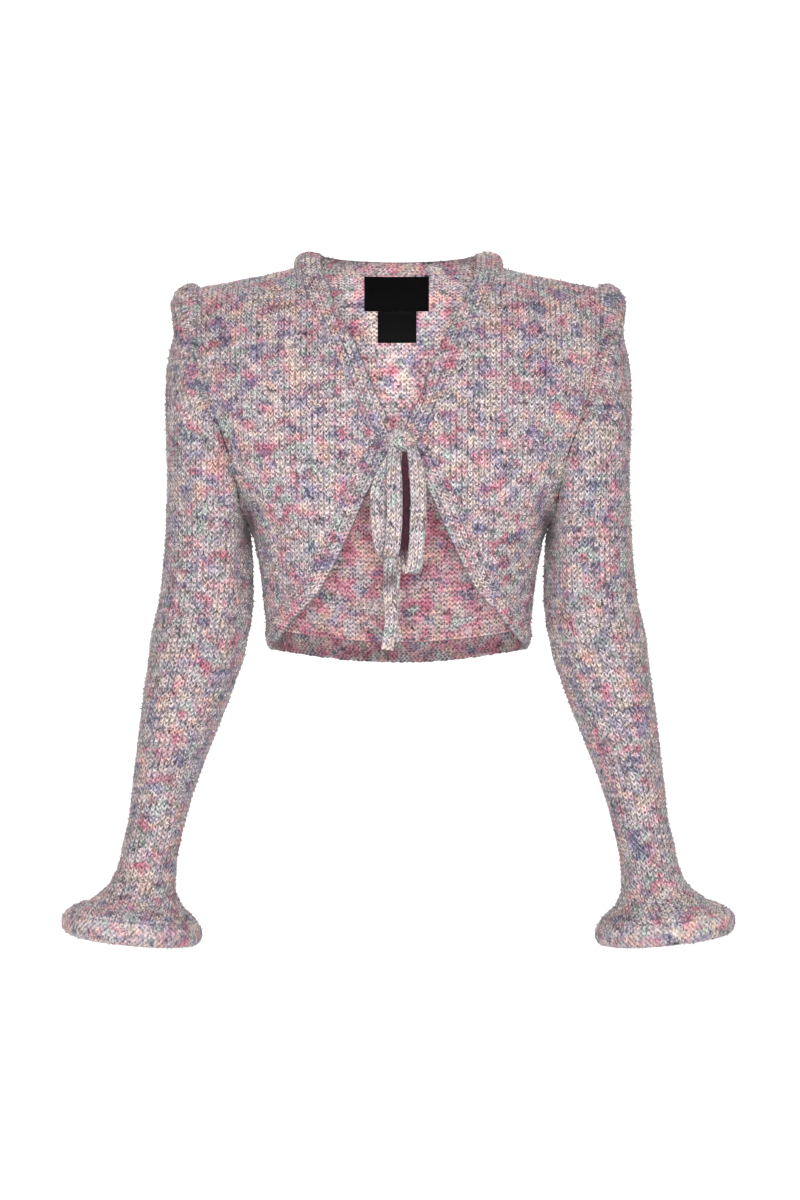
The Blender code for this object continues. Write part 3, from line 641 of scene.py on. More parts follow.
def knot_surface(u, v):
    """The knot: a squarish ball, u round it and v from bottom to top, with slanting grooves
    where the strap passes over itself."""
    a, b = 2 * np.pi * u, np.pi * (np.clip(v, KNOT_POLE, 1 - KNOT_POLE) - 0.5)
    ball = np.stack([np.cos(b) * np.cos(a), np.cos(b) * np.sin(a), np.sin(b)], axis=-1)
    spread = (np.abs(ball) ** KNOT_SQUARENESS).sum(-1, keepdims=True) ** (1 / KNOT_SQUARENESS)
    place = (np.sin(b) * GROOVE_CLIMB - GROOVE_SLANT * np.cos(a)) % GROOVE_SPACING
    groove = np.exp(-((place - GROOVE_SPACING / 2) / GROOVE_WIDTH) ** 2)
    return KNOT_MIDDLE + KNOT_HALF * ball / spread * (1 - GROOVE_DEPTH * groove[..., None])


def label_surface(sizes):
    """A label flat on the inside of the back, u across as seen from the front, v up."""
    centre, half, top, bottom = sizes

    def surface(u, v):
        x, z = centre + half * (2 * u - 1), bottom + (top - bottom) * v
        at = body(turn_of(x, z), z, 1)
        edge = np.minimum(np.minimum(u, 1 - u) * 2 * half, np.minimum(v, 1 - v) * (top - bottom))
        curl = LABEL_CURL * (1 - ease(edge, 0, LABEL_BORDER))
        lift = LABEL_CLEARANCE + LABEL_CLOTH + CLOTH + PURL_RISE - curl
        return at - outwards(at) * lift[..., None]

    return surface


# ---- Stitches ----
def stitch_rise(x, y):
    """Height of plain stitches, low in the grooves and 1 on a leg's crest: a squared sine
    across, two legs a wale, times a squared sine up, one crest a course. x and y are shares
    of a wale and a course."""
    return (0.22 + 0.78 * np.sin(2 * np.pi * x) ** 2) * (0.30 + 0.70 * np.sin(np.pi * y) ** 2)


def purl_rise(x, y):
    """Height of the reverse side: bumps set like bricks, by a product of two cosines."""
    return 0.5 + 0.5 * np.cos(2 * np.pi * x) * np.cos(2 * np.pi * y)


def stitch_gap_shade(x, y):
    """Painted shade of the knit: 1 in the hole above a stitch's tip, less between two wales."""
    low = np.cos(np.pi * y) ** 2
    return np.clip(
        low * (0.34 + 0.66 * np.sin(np.pi * x) ** 6) + 0.50 * np.cos(np.pi * x) ** 6, 0, 1
    )


def underarm_painted_shade(points):
    """Share of painted shade, dark red-purple, on the front at the underarm where the shade is
    deep.
    """
    x, y, z = np.abs(points[..., 0]), points[..., 1], points[..., 2]
    (middle_x, reach_x), (middle_z, reach_z) = UNDERARM_SHADE_PATCH
    away = ((x - middle_x) / reach_x) ** 2 + ((z - middle_z) / reach_z) ** 2
    return np.clip(SHADE_PATCH_STRENGTH * np.exp(-away), 0, SHADE_PATCH_MOST) * (y < SHADE_PATCH_BACK)


def painted_shade_patch(strength, middle, reach):
    """Share of painted shade on a strap at u and v: strength exp(-((v - middle) / reach)^2)."""
    return lambda u, v: strength * np.exp(-(((v - middle) / reach) ** 2))


def painted_shade_tail(start, end):
    """Share of painted shade on a strap at u and v: wholly before start, not at all after end."""
    return lambda u, v: 1 - ease(v, start, end)


def mean_heights(points):
    """Distance up a surface's grid, the same for a whole row: its columns' mean."""
    return np.repeat(lengths(points, 0).mean(1)[:, None], points.shape[1], 1)


def column_heights(points):
    """Distance up each column of a surface's grid, so that a slanting top cuts rows off."""
    return lengths(points, 0)


def level_heights(points):
    """Distance up the front, level across it: straight up to where the shoulder begins to
    round off, then along a quarter ellipse as deep as the body is there."""
    x, z = np.abs(points[..., 0]), points[..., 2]
    roof = smooth(x, ROOF[:, 0], ROOF[:, 1:])
    edge = roof[..., 0] - roof[..., 1]
    rounded = np.arcsin(((z - edge) / roof[..., 1]).clip(0, 1))
    depth = smooth(z, BODY[:, 0], BODY[:, 2])
    depth = depth * np.sqrt(1 - np.sin(turn_of(x, z)) ** BODY_SQUARENESS)
    arc = rounded * (roof[..., 1] + depth) / 2 + np.sin(2 * rounded) * (roof[..., 1] - depth) / 4
    return np.minimum(z, edge) + arc


def at_edge(points):
    """No distance: rows are counted from their first points."""
    return np.zeros(len(points))


def from_centre(points):
    """Distance round the front from the centre to each point, level with it, or just below
    the shoulder's rounding where the point is higher."""
    z = np.minimum(points[:, 2], -ROOF[:, 2].min())
    turn = turn_of(points[:, 0], z)[:, None] * np.linspace(0, 1, FINE_ARC)
    return lengths(body(turn, np.repeat(z[:, None], FINE_ARC, 1), -1), 1)[:, -1]


def lattice(surface, wale, course, columns, rows, heights=mean_heights, start=None, origin=0.5):
    """The stitches' places on a surface.

    Row j follows the curve that is j steps up the piece, by heights, and is cut off where
    that curve leaves it. Column i crosses it where the distance along it is i steps, counted
    from where u is origin, or from the first point by what start gives for it, and a column
    past the row's end stays at that end. lean_u and lean_v say how u and v change up a column.
    """
    line_u, line_v = np.linspace(0, 1, FINE_U), np.linspace(0, 1, FINE_V)
    up = heights(surface(*np.meshgrid(line_u, line_v)))
    count = round(np.ptp(up) / (course / rows))
    levels = np.linspace(up.min(), up.max(), count + 1)
    by_u = np.repeat(line_u[None], count + 1, 0)
    by_v = np.repeat(line_v[None], FINE_U, 0)
    curve = read_off(np.repeat(levels[None], FINE_U, 0), up.T, by_v).T
    room = np.minimum(up[-1][None] - levels[:, None], levels[:, None] - up[0][None])
    inside = room >= -TINY
    each = np.arange(count + 1)
    starts, stops = inside.argmax(1), FINE_U - 1 - inside[:, ::-1].argmax(1)
    points = surface(by_u, curve)
    far = lengths(points, 1)
    if start is None:
        far = far - far[:, round(origin * (FINE_U - 1))][:, None]
    else:
        far = far + (start(points[each, starts]) - far[each, starts])[:, None]
    ends = []
    for last_inside, step in ((starts, -1), (stops, 1)):
        beyond = np.clip(last_inside + step, 0, FINE_U - 1)
        here, there = far[each, last_inside], far[each, beyond]
        over = room[each, last_inside] - room[each, beyond]
        share = room[each, last_inside] / np.maximum(over, TINY)
        share = np.where(inside[each, beyond], 0, share)
        ends.append(here + share.clip(0, 1) * (there - here))
    low, high = ends
    step = wale / columns
    number = np.arange(np.floor(low.min() / step), np.ceil(high.max() / step) + 1)
    first = np.searchsorted(number * step, low + TINY, side="right") - 1
    last = np.searchsorted(number * step, high - TINY)
    last = last.clip(first, len(number) - 1)[:, None]
    first = first.clip(0, len(number) - 1)[:, None]
    at = np.clip(number[None] * step, low[:, None], high[:, None])
    u = read_off(at, far, by_u)
    column = np.arange(len(number))[None]
    border = (column <= first) | (column >= last) | (each[:, None] % count == 0)
    lean = -np.gradient(far, levels, axis=0) / np.maximum(np.gradient(far, line_u, axis=1), END)
    climb = np.gradient(curve, levels, axis=0) + np.gradient(curve, line_u, axis=1) * lean
    return {
        "u": u,
        "v": read_off(u, by_u, curve),
        "lean_u": read_off(u, by_u, lean),
        "lean_v": read_off(u, by_u, climb),
        "x": np.mod(number, columns)[None] / columns + 0 * u,
        "y": np.mod(each, rows)[:, None] / rows + 0 * u,
        "column": np.clip(column, first, last),
        "first": first[:, 0],
        "last": last[:, 0],
        "open": room[:, 0] < -TINY,
        "free": ~border,
    }


def slopes(surface, u, v, closed):
    """Directions along u and along v on a surface, and its outward normal: their cross
    product, from small steps either way."""
    reach = (lambda x: x) if closed else (lambda x: np.clip(x, 0, 1))
    steps_u = surface(reach(u + NUDGE), v) - surface(reach(u - NUDGE), v)
    steps_v = surface(u, np.clip(v + NUDGE, 0, 1)) - surface(u, np.clip(v - NUDGE, 0, 1))
    return unit(steps_u), unit(steps_v), unit(np.cross(steps_u, steps_v))


def slubs(shape, columns, rows, dice):
    """Thick and thin places of the yarn: one random number for each stitch, averaged with
    its neighbours along the course and repeated over the stitch's points."""
    stitches = (shape[0] // rows + 2, shape[1] // columns + 6)
    yarn = dice.normal(size=stitches)
    yarn = (yarn[:, :-2] + 2 * yarn[:, 1:-1] + yarn[:, 2:]) / 2.4
    return np.repeat(np.repeat(yarn, rows, 0), columns, 1)[: shape[0], : shape[1]]


def knitted(name, surface, material, seed, wale=WALE, course=COURSE, columns=4, rows=2,
            closed=False, solid=False, mirror=False, free_edges=(), purl_below=0.0,
            rise=STITCH_RISE, painted_shade=None, nub_shares=(0.2, 0.0), tuck=0, **measure):
    """A knitted piece and its nubs: the lattice's points on the surface, each leg raised along
    the normal and every row bent into a chevron, with the reverse side's bumps on the inner
    skin, and also on the outer one where v is below purl_below. Free edges get a rounded rim.
    tuck is 1 where the inner skin's last column reaches under its neighbour, -1 for its first.
    The painted shade, dark red-purple, comes at u and v from the function given for it, or
    else from the patch at the underarm, and nub_shares says how many points of each side
    have one.
    measure says how the lattice counts its rows and columns."""
    dice = np.random.default_rng(seed)
    grid = lattice(surface, wale, course, columns, rows, **measure)
    u, v, x, y, free = (grid[key] for key in ("u", "v", "x", "y", "free"))
    bumps = purl_rise(x, y)
    turned = ease(purl_below - v, -TURN_REACH, TURN_REACH) if purl_below else 0 * v
    bend = course * SLANT * (2 * np.abs(x - 0.5) - 0.5) * free * (1 - turned)
    raised_u, raised_v = u + bend * grid["lean_u"], np.clip(v + bend * grid["lean_v"], 0, 1)
    raised_u = raised_u if closed else raised_u.clip(0, 1)
    outer = surface(raised_u, raised_v)
    along_u, along_v, normal = slopes(surface, raised_u, raised_v, closed)
    slub = slubs(u.shape, columns, rows, dice)
    thick = slub.clip(-2, 2)
    stray = dice.normal(size=(*u.shape, 3)) * UNEVEN * free[..., None]
    height = stitch_rise(x, y) * (1 - turned) + bumps * TURNED_RISE * turned
    height = rise * (height * (1 + SLUB_RISE * thick) - STITCH_LEVEL) * free
    outer = outer + normal * (height + stray[..., 0])[..., None]
    outer = outer + along_u * stray[..., 1:2] + along_v * stray[..., 2:3]
    # Painted shade in the holes between the stitches, and on border points at least a seam's
    painted_gap_shade = stitch_gap_shade(x, y) * (1 - turned) + (1 - bumps) ** 2 * TURNED_SHADE * turned
    painted_gap_shade = painted_gap_shade * (GAP_SHADE_LEAST + GAP_SHADE_SPREAD * dice.random(u.shape))
    skins = [(outer, np.maximum(painted_gap_shade, SEAM_SHADE * ~free).clip(0, 1))]
    sides = [(outer, normal, nub_shares[0])]
    edges = {
        "first column": (-along_u, u <= END),
        "last column": (along_u, u >= 1 - END),
        "first row": (-along_v, v <= END),
    }
    if not solid:
        _, _, normal_in = slopes(surface, u, v, closed)
        depth = PURL_RISE * (bumps * (1 + SLUB_PURL * thick) - PURL_LEVEL) * free
        depth = depth + dice.normal(size=u.shape) * UNEVEN * free
        inner = surface(u, v) - normal_in * (CLOTH + depth)[..., None]
        tucked = edges["last column" if tuck > 0 else "first column"][1]
        inner = inner + along_u * (TUCK * tuck * tucked)[..., None]
        # Painted shade in the hollows between the reverse side's bumps
        inner_gap_shade = (1 - bumps) ** 2 * (GAP_SHADE_LEAST_IN + GAP_SHADE_SPREAD_IN * dice.random(u.shape))
        skins.append((inner, inner_gap_shade.clip(0, 1)))
        sides.append((inner, -normal_in, nub_shares[1]))
    push = np.zeros_like(outer)
    for edge in free_edges:
        way, there = edges[edge]
        push = push + way * there[..., None]
    tone = 0.5 + TONE_SPREAD * (dice.random(u.shape) - 0.5) + TONE_SLUB * slub
    # Painted shade: the strap's own where given, else the patch at the underarm
    painted_shades = underarm_painted_shade(outer) if painted_shade is None else painted_shade(u, v)
    push = push * CLOTH * (EDGE_ROLL + EDGE_STRAY * dice.random(u.shape))[..., None]
    paint = {"tone": tone.clip(0, 1), "painted_shade": painted_shades}
    piece = wall(name, skins, grid, push, paint, material, closed, mirror)
    return piece, nubs(f"{name}_nubs", sides, along_u, grid, painted_shades, dice, material, mirror)


def nubs(name, sides, along_u, grid, painted_shade, dice, material, mirror):
    """The slub yarn's thick places: at some of the stitches' points a small closed solid with
    four corners, two of them low and along it and two high and across it, turned at random.
    Some stand up at one end as fuzz. NUB_DARK of them are dark and the rest pale, at the
    tones where the yarn paints glints."""
    column = np.arange(along_u.shape[1])[None]
    open_places = grid["free"] & (column > grid["first"][:, None] + 1)
    open_places &= column < grid["last"][:, None] - 1
    corners, insides, painted_shades = [], [], []
    for which, (points, normal, share) in enumerate(sides):
        chosen = open_places & (dice.random(open_places.shape) < share)
        if which:
            chosen &= ~behind_label(points)
        middle, up, side = points[chosen], normal[chosen], along_u[chosen]
        side = unit(side - up * (side * up).sum(-1, keepdims=True))
        turn = dice.random(len(middle))[:, None] * 2 * np.pi
        ahead = side * np.cos(turn) + np.cross(up, side) * np.sin(turn)
        across = np.cross(up, ahead)
        size = NUB[:, 0] + (NUB[:, 1] - NUB[:, 0]) * dice.random((len(middle), 3))
        long, wide, high = (size[:, [axis]] for axis in range(3))
        middle = middle + up * NUB_LIFT
        stand = FUZZ_ANGLE + FUZZ_SPREAD * dice.random((len(middle), 1))
        stand = stand * (dice.random((len(middle), 1)) < FUZZ)
        tip = (ahead * np.cos(stand) + up * np.sin(stand)) * long * FUZZ_REACH
        tip = np.where(stand > 0, tip, ahead * long - up * high)
        solid = np.stack([
            middle - ahead * long - up * high, middle + tip,
            middle - across * wide + up * high, middle + across * wide + up * high,
        ], axis=1)
        inside_out = np.linalg.det(solid[:, 1:] - solid[:, :1]) > 0
        solid[inside_out, 2:] = solid[inside_out, :1:-1]
        corners.append(solid.reshape(-1, 3))
        insides.append(np.full(len(middle) * 4, float(which)))
        painted_shades.append(np.repeat(painted_shade[chosen], 4))
    points = np.concatenate(corners)
    count = len(points) // 4
    faces = np.arange(count)[:, None, None] * 4 + [[0, 1, 2], [0, 3, 1], [1, 3, 2], [0, 2, 3]]
    faces = faces.reshape(-1, 3)
    if mirror:
        points, faces = points * (-1, 1, 1), faces[:, ::-1]
    shade = dice.random(count)
    pale = 1 - PALEST_TONES + PALEST_TONES * dice.random(count)
    tone = np.where(shade < NUB_DARK, shade / NUB_DARK * DARKEST_TONES, pale)
    values = {
        "painted_gap_shade": np.zeros(len(points)), "inside": np.concatenate(insides),
        "tone": np.repeat(tone, 4), "painted_shade": np.concatenate(painted_shades),
    }
    where = rim_map(len(faces)) / (1, RIM_MAP) * 0.998
    return add_mesh(name, points, faces, where, values, material)


def behind_label(points):
    """Whether points of the reverse side lie behind a label, or within its margin."""
    x, z = points[..., 0], points[..., 2]
    hidden = np.zeros(x.shape, dtype=bool)
    for centre, half, top, bottom in (MAIN_LABEL, CARE_LABEL):
        beside = np.abs(x - centre) < half + LABEL_MARGIN
        hidden |= beside & (z < top + LABEL_MARGIN) & (z > bottom - LABEL_MARGIN)
    return hidden


def wall(name, skins, grid, push, paint, material, closed=False, mirror=False):
    """Joins a lattice's skins into one closed mesh. Columns past a row's ends share its end
    point, so the faces between them vanish. A rim, pushed out in the middle where the edge is
    free, joins the outer skin to the inner one; a solid piece's ends are closed by fans."""
    outer = skins[0][0]
    row_count, width = outer.shape[:2]
    count = row_count * width
    place = np.arange(row_count)[:, None] * width + grid["column"]
    number = place.copy()
    if closed:
        seam = ~grid["open"]
        start = (np.arange(row_count) * width + grid["first"])[:, None]
        at_end = (grid["column"] == grid["last"][:, None]) & seam[:, None]
        number = np.where(at_end, start, number)
    quads, spots = (
        np.stack([n[:-1, :-1], n[:-1, 1:], n[1:, 1:], n[1:, :-1]], axis=-1).reshape(-1, 4)
        for n in (number, place)
    )
    flat = outer.reshape(-1, 3)
    near = np.linalg.norm(flat[quads[:, 0]] - flat[quads[:, 2]], axis=1)
    far = np.linalg.norm(flat[quads[:, 1]] - flat[quads[:, 3]], axis=1)
    cut = np.where((near < far)[:, None], [[0, 1, 2, 0, 2, 3]], [[0, 1, 3, 1, 2, 3]])
    faces, spots = (np.take_along_axis(n, cut, 1).reshape(-1, 3) for n in (quads, spots))
    whole = (faces != np.roll(faces, -1, axis=1)).all(1)
    faces, spots = faces[whole], spots[whole]

    edges = np.concatenate([faces[:, [0, 1]], faces[:, [1, 2]], faces[:, [2, 0]]])
    code, back = edges @ (count, 1), edges @ (1, count)
    rim = edges[~np.isin(code, back)]
    column_share = (np.arange(count) % width) / (width - 1)
    row_share = (np.arange(count) // width) / (row_count - 1)
    where = np.stack([0.004 + 0.490 * column_share, 0.030 + 0.965 * row_share], axis=-1)
    uv = [where[spots]]
    points, gap_shades, insides = [flat], [skins[0][1].ravel()], [np.zeros(count)]
    if len(skins) == 2:
        inner = skins[1][0].reshape(-1, 3)
        middle = (flat + inner) / 2 + push.reshape(-1, 3)
        points += [middle, inner]
        stands_out = np.linalg.norm(push, axis=-1).ravel() / CLOTH
        # Painted shade on the rim: darker the further a free edge stands out, half a seam's where
        # sewn
        middle_gap_shade = np.where(stands_out > 0, stands_out + RIM_SHADE / 2, SEAM_SHADE / 2)
        gap_shades += [middle_gap_shade.clip(0, 1), skins[1][1].ravel()]
        insides += [(stands_out == 0).astype(float), np.ones(count)]
        p, q = rim.T
        half = [np.stack([q, p, p + count], axis=-1), np.stack([q, p + count, q + count], axis=-1)]
        strips = np.concatenate([*half, half[0] + count, half[1] + count])
        uv += [where[spots[:, ::-1]] + (0.502, 0), rim_map(len(strips))]
        faces = np.concatenate([faces, faces[:, ::-1] + 2 * count, strips])
    else:
        ends = rim[np.argsort(rim[:, 0])]
        low = ends[:, 0] < count / 2
        caps = []
        for which, end in enumerate((ends[low], ends[~low])):
            points.append(flat[end[:, 0]].mean(0)[None])
            gap_shades.append(np.full(1, RIM_SHADE))
            insides.append(np.zeros(1))
            tip = np.full(len(end), count + which)
            caps.append(np.stack([end[:, 1], end[:, 0], tip], axis=-1))
        caps = np.concatenate(caps)
        uv.append(rim_map(len(caps)))
        faces = np.concatenate([faces, caps])
    points = np.concatenate(points)
    layers = max(1, len(skins) * 2 - 1)
    extra = len(points) - layers * count
    values = {"painted_gap_shade": np.concatenate(gap_shades), "inside": np.concatenate(insides)}
    for key, value in paint.items():
        values[key] = np.concatenate([np.tile(value.ravel(), layers), np.full(extra, value.mean())])
    sewn = rim[(push.reshape(-1, 3)[rim] == 0).all((1, 2))]
    if mirror:
        points = points * (-1, 1, 1)
        faces = faces[:, ::-1]
        uv = [part[:, ::-1] for part in uv]
    return add_mesh(name, points, faces, np.concatenate(uv), values, material, sewn)


def label(name, sizes, material):
    """A woven label: the label's surface and its back, a cloth's thickness behind."""
    columns, rows = 36, 22
    u, v = np.meshgrid(np.linspace(0, 1, columns), np.linspace(0, 1, rows))
    surface = label_surface(sizes)
    outer = surface(u, v)
    _, _, normal = slopes(surface, u, v, False)
    grid = {"column": np.arange(columns)[None] + np.zeros((rows, 1), dtype=int)}
    skins = [(outer, 0 * u), (outer - normal * LABEL_CLOTH, 0 * u)]
    return wall(name, skins, grid, np.zeros_like(outer), {"tone": 0 * u}, material)


def rim_map(count):
    """Places on the map for a rim's triangles: small cells in rows along its lower edge."""
    across = int(np.ceil(np.sqrt(count * 50)))
    cell = np.stack([np.arange(count) % across, np.arange(count) // across], axis=-1)
    corner = np.array([(0.15, 0.15), (0.85, 0.15), (0.15, 0.85)])
    deep = max(1, int(np.ceil(count / across)))
    return (cell[:, None] + corner[None]) / (across, deep) * (1, RIM_MAP)


def add_mesh(name, points, faces, uv, values, material, sharp=((0, 0),)):
    """A mesh object at the origin from arrays, without the points that no face uses. sharp
    names the edges where the shading breaks: along a seam, so that none shows a bevel."""
    used, faces = np.unique(faces, return_inverse=True)
    faces = faces.reshape(-1, 3)
    sharp = np.sort(np.searchsorted(used, sharp), axis=1) @ (len(used), 1)
    mesh = bpy.data.meshes.new(name)
    mesh.vertices.add(len(used))
    mesh.vertices.foreach_set("co", points[used].astype(np.float32).ravel())
    mesh.loops.add(faces.size)
    mesh.loops.foreach_set("vertex_index", faces.astype(np.int32).ravel())
    mesh.polygons.add(len(faces))
    mesh.polygons.foreach_set("loop_start", np.arange(0, faces.size, 3, dtype=np.int32))
    layer = mesh.uv_layers.new(name="OFBake")
    layer.uv.foreach_set("vector", uv.astype(np.float32).ravel())
    for key, value in values.items():
        spread = mesh.attributes.new(key, "FLOAT", "POINT")
        spread.data.foreach_set("value", value[used].astype(np.float32))
    mesh.update(calc_edges=True)
    mesh.shade_smooth()
    ends = np.empty(len(mesh.edges) * 2, dtype=np.int32)
    mesh.edges.foreach_get("vertices", ends)
    ends = np.sort(ends.reshape(-1, 2).astype(np.int64), axis=1) @ (len(used), 1)
    breaks = mesh.attributes.new("sharp_edge", "BOOLEAN", "EDGE")
    breaks.data.foreach_set("value", np.isin(ends, sharp))
    mesh.materials.append(material)
    piece = bpy.data.objects.new(name, mesh)
    scene.collection.objects.link(piece)
    return piece


# ---- Materials ----
def linear(*colour):
    """An sRGB colour given as 0 to 255, as linear values with alpha."""
    share = np.array(colour) / 255
    return (*np.where(share < 0.04045, share / 12.92, ((share + 0.055) / 1.055) ** 2.4), 1)


class Nodes:
    """A material's node tree, with short calls for its nodes and links."""

    def __init__(self, name):
        self.material = bpy.data.materials.new(name)
        self.material.use_nodes = True
        self.tree = self.material.node_tree
        self.shader = self.tree.nodes["Principled BSDF"]

    def add(self, kind, inputs=(), **settings):
        node = self.tree.nodes.new("ShaderNode" + kind)
        for key, value in settings.items():
            setattr(node, key, value)
        for key, value in dict(inputs).items():
            self.feed(node.inputs[key], value)
        return node

    def feed(self, socket, value):
        if isinstance(value, bpy.types.NodeSocket):
            self.tree.links.new(value, socket)
        else:
            socket.default_value = value

    def read(self, name):
        return self.add("Attribute", attribute_name=name).outputs["Fac"]

    def math(self, operation, a, b=0.0):
        return self.add("Math", {0: a, 1: b}, operation=operation).outputs[0]

    def plus(self, value, *parts):
        """value + other times weight, for each (other, weight) in parts."""
        for other, weight in parts:
            value = self.math("ADD", value, self.math("MULTIPLY", other, weight))
        return value

    def places(self):
        return self.add("TexCoord").outputs["Object"]

    def noise(self, scale, detail, shift=(0, 0, 0), stretch=(1, 1, 1), rough=0.5, distort=0.0):
        at = self.add("Mapping", {"Vector": self.places(), "Location": shift, "Scale": stretch})
        return self.add("TexNoise", {
            "Vector": at.outputs[0],
            "Scale": scale,
            "Detail": detail,
            "Roughness": rough,
            "Distortion": distort,
        }).outputs["Fac"]

    def ramp(self, value, stops, interpolation="LINEAR"):
        node = self.add("ValToRGB", {"Fac": value})
        node.color_ramp.interpolation = interpolation
        while len(node.color_ramp.elements) < len(stops):
            node.color_ramp.elements.new(0.5)
        for element, (at, colour) in zip(node.color_ramp.elements, stops):
            element.position = at
            element.color = colour
        return node.outputs["Color"]

    def shades(self, value, stops):
        """A ramp of greys, given as (place, strength)."""
        return self.ramp(value, [(at, grey(strength)) for at, strength in stops])

    def mix(self, share, a, b, blend="MIX"):
        node = self.add("Mix", data_type="RGBA", blend_type=blend)
        for socket, value in (("Factor", share), (6, a), (7, b)):
            self.feed(node.inputs[socket], value)
        return node.outputs[2]

    def times(self, colour, *others):
        """A colour multiplied by others in turn."""
        for other in others:
            colour = self.mix(1.0, colour, other, "MULTIPLY")
        return colour

    def finish(self, colour, roughness, specular, height=None, strength=0.0, distance=0.0):
        """Feeds the shader, with a bump from height, and returns the material."""
        self.feed(self.shader.inputs["Base Color"], colour)
        self.feed(self.shader.inputs["Roughness"], roughness)
        self.feed(self.shader.inputs["Specular IOR Level"], specular)
        if height is not None:
            bump = self.add("Bump", {"Height": height, "Strength": strength, "Distance": distance})
            self.feed(self.shader.inputs["Normal"], bump.outputs[0])
        return self.material


MINT = linear(190, 197, 190)
GREY = linear(194, 185, 187)
PALE = linear(208, 192, 195)
CREAM = linear(214, 197, 186)
PEACH = linear(230, 172, 164)
PINK = linear(220, 142, 160)
ROSE = linear(202, 90, 120)
SLATE = linear(167, 163, 189)
NAVY = linear(118, 112, 152)
# Painted shadow in the knit's holes and grooves
GAP_SHADOW_COLOUR = linear(32, 25, 34)
# Painted shade in dark red-purple, where the underarm and the tie's straps lie in shadow
PLUM_PAINTED_SHADE = linear(74, 24, 42)
# Shades of the yarn, as (place, strength). By a point's own tone, whose top stops paint glints:
TONE_SHADES = ((0.0, 0.10), (0.16, 0.50), (0.50, 1.12), (0.84, 1.32), (1.0, 1.60))
FIBRE_SHADES = ((0.34, 0.50), (0.66, 1.30))
# By height from LOW_BODY to 0: painted light and shade inside and outside, and how deep inside the
# garment it is there
LOW_BODY = -0.36
INSIDE_PAINTED_LIGHT = ((0.0, 0.41), (0.28, 0.52), (0.62, 1), (1.0, 0.68))
OUTSIDE_PAINTED_SHADE = ((0.62, 1), (0.88, 0.93))
DEEP_INSIDE = ((0.40, 1), (0.70, 0.25))
# Painted light and shade by height over the rolled cuffs
CUFF_HEIGHTS = (-0.66, -0.60)
CUFF_PAINTED_LIGHT = ((0.0, 0.76), (0.35, 0.88), (0.6, 1.10), (0.8, 1.08), (1.0, 1))
GAP_SHADE_SHARE, GAP_SHADE_POWER = 0.98, 0.56


def grey(value):
    return (value, value, value, 1)


def yarn(name, seed=0.0, pink=0.0, slate=0.0, light=1.0, painted_inside_light=PAINTED_INSIDE_LIGHT):
    """Space-dyed slub yarn. Three soft noises choose between pale, slate and rose stretches.
    Each point's own tone nudges it along them and darkens or lightens it at random, its top
    tones painting glints. Painted shade darkens the holes between the stitches, and painted
    dark red-purple shade lies where the points carry it. Deep inside the garment it is pinker.
    Painted light and shade inside, outside and over the cuffs change with height, and light
    paints a whole yarn lighter or darker."""
    n = Nodes(name)
    tone, inside = n.read("tone"), n.read("inside")
    centred = n.math("SUBTRACT", tone, 0.5)
    height = n.add("SeparateXYZ", {"Vector": n.places()}).outputs["Z"]
    up_body, up_cuff = (
        n.add("MapRange", {"Value": height, 1: low, 2: high}).outputs[0]
        for low, high in ((LOW_BODY, 0.0), CUFF_HEIGHTS)
    )
    deep = n.math("MULTIPLY", inside, n.shades(up_body, DEEP_INSIDE))
    patch_a = n.noise(60, 1.5, (seed, 0, 0), (1, 1, 1.2), 0.5, 0.3)
    patch_b = n.noise(66, 1.5, (seed, 7.3, 2.1), (1, 1, 1.1), 0.5, 0.3)
    patch_c = n.noise(62, 1.2, (seed, 3.1, 9.7), (1, 1, 1), 0.5, 0.2)
    first = n.plus(patch_a, (centred, -0.16), (deep, -0.05))
    second = n.plus(patch_b, (centred, 0.06), (deep, 0.07))
    third = n.plus(patch_c, (centred, 0.08))
    base = n.ramp(third, [(0.34, MINT), (0.44, GREY), (0.53, PALE), (0.64, CREAM)])
    warm = n.ramp(patch_c, [(0.38, ROSE), (0.50, PINK), (0.62, PEACH)])
    cool = n.ramp(patch_c, [(0.40, NAVY), (0.60, SLATE)])
    colour = n.mix(n.shades(second, [(0.46 - pink, 0), (0.66 - pink, 0.78)]), base, warm)
    colour = n.mix(n.shades(first, [(0.49 - slate, 0), (0.69 - slate, 0.78)]), colour, cool)
    # Painted shade, dark red-purple, as much as the points' share of it
    colour = n.mix(n.read("painted_shade"), colour, PLUM_PAINTED_SHADE)
    fibres = n.noise(1100, 2, (0, 0, 0), (1, 1, 1), 0.7)
    colour = n.times(colour, n.shades(fibres, FIBRE_SHADES), n.shades(tone, TONE_SHADES))
    # Painted light: the reverse side lighter, most at mid height; the outside darker towards the
    # shoulders and at the cuffs' lower edge
    painted_inner_light = n.times(grey(painted_inside_light), n.shades(up_body, INSIDE_PAINTED_LIGHT))
    painted_outer_light = n.times(n.shades(up_body, OUTSIDE_PAINTED_SHADE), n.shades(up_cuff, CUFF_PAINTED_LIGHT))
    # Painted light and shade: by height, and over the whole yarn by light
    colour = n.times(colour, n.mix(inside, painted_outer_light, painted_inner_light), grey(light))
    # Painted shade in the holes, mixed towards the near-black shadow colour
    painted_gap_shade = n.math("POWER", n.math("MULTIPLY", n.read("painted_gap_shade"), GAP_SHADE_SHARE), GAP_SHADE_POWER)
    n.shader.inputs["Sheen Weight"].default_value = 0.15
    n.shader.inputs["Sheen Roughness"].default_value = 0.5
    return n.finish(n.mix(painted_gap_shade, colour, GAP_SHADOW_COLOUR), 0.85, 0.25, fibres, 0.5, 0.0004)


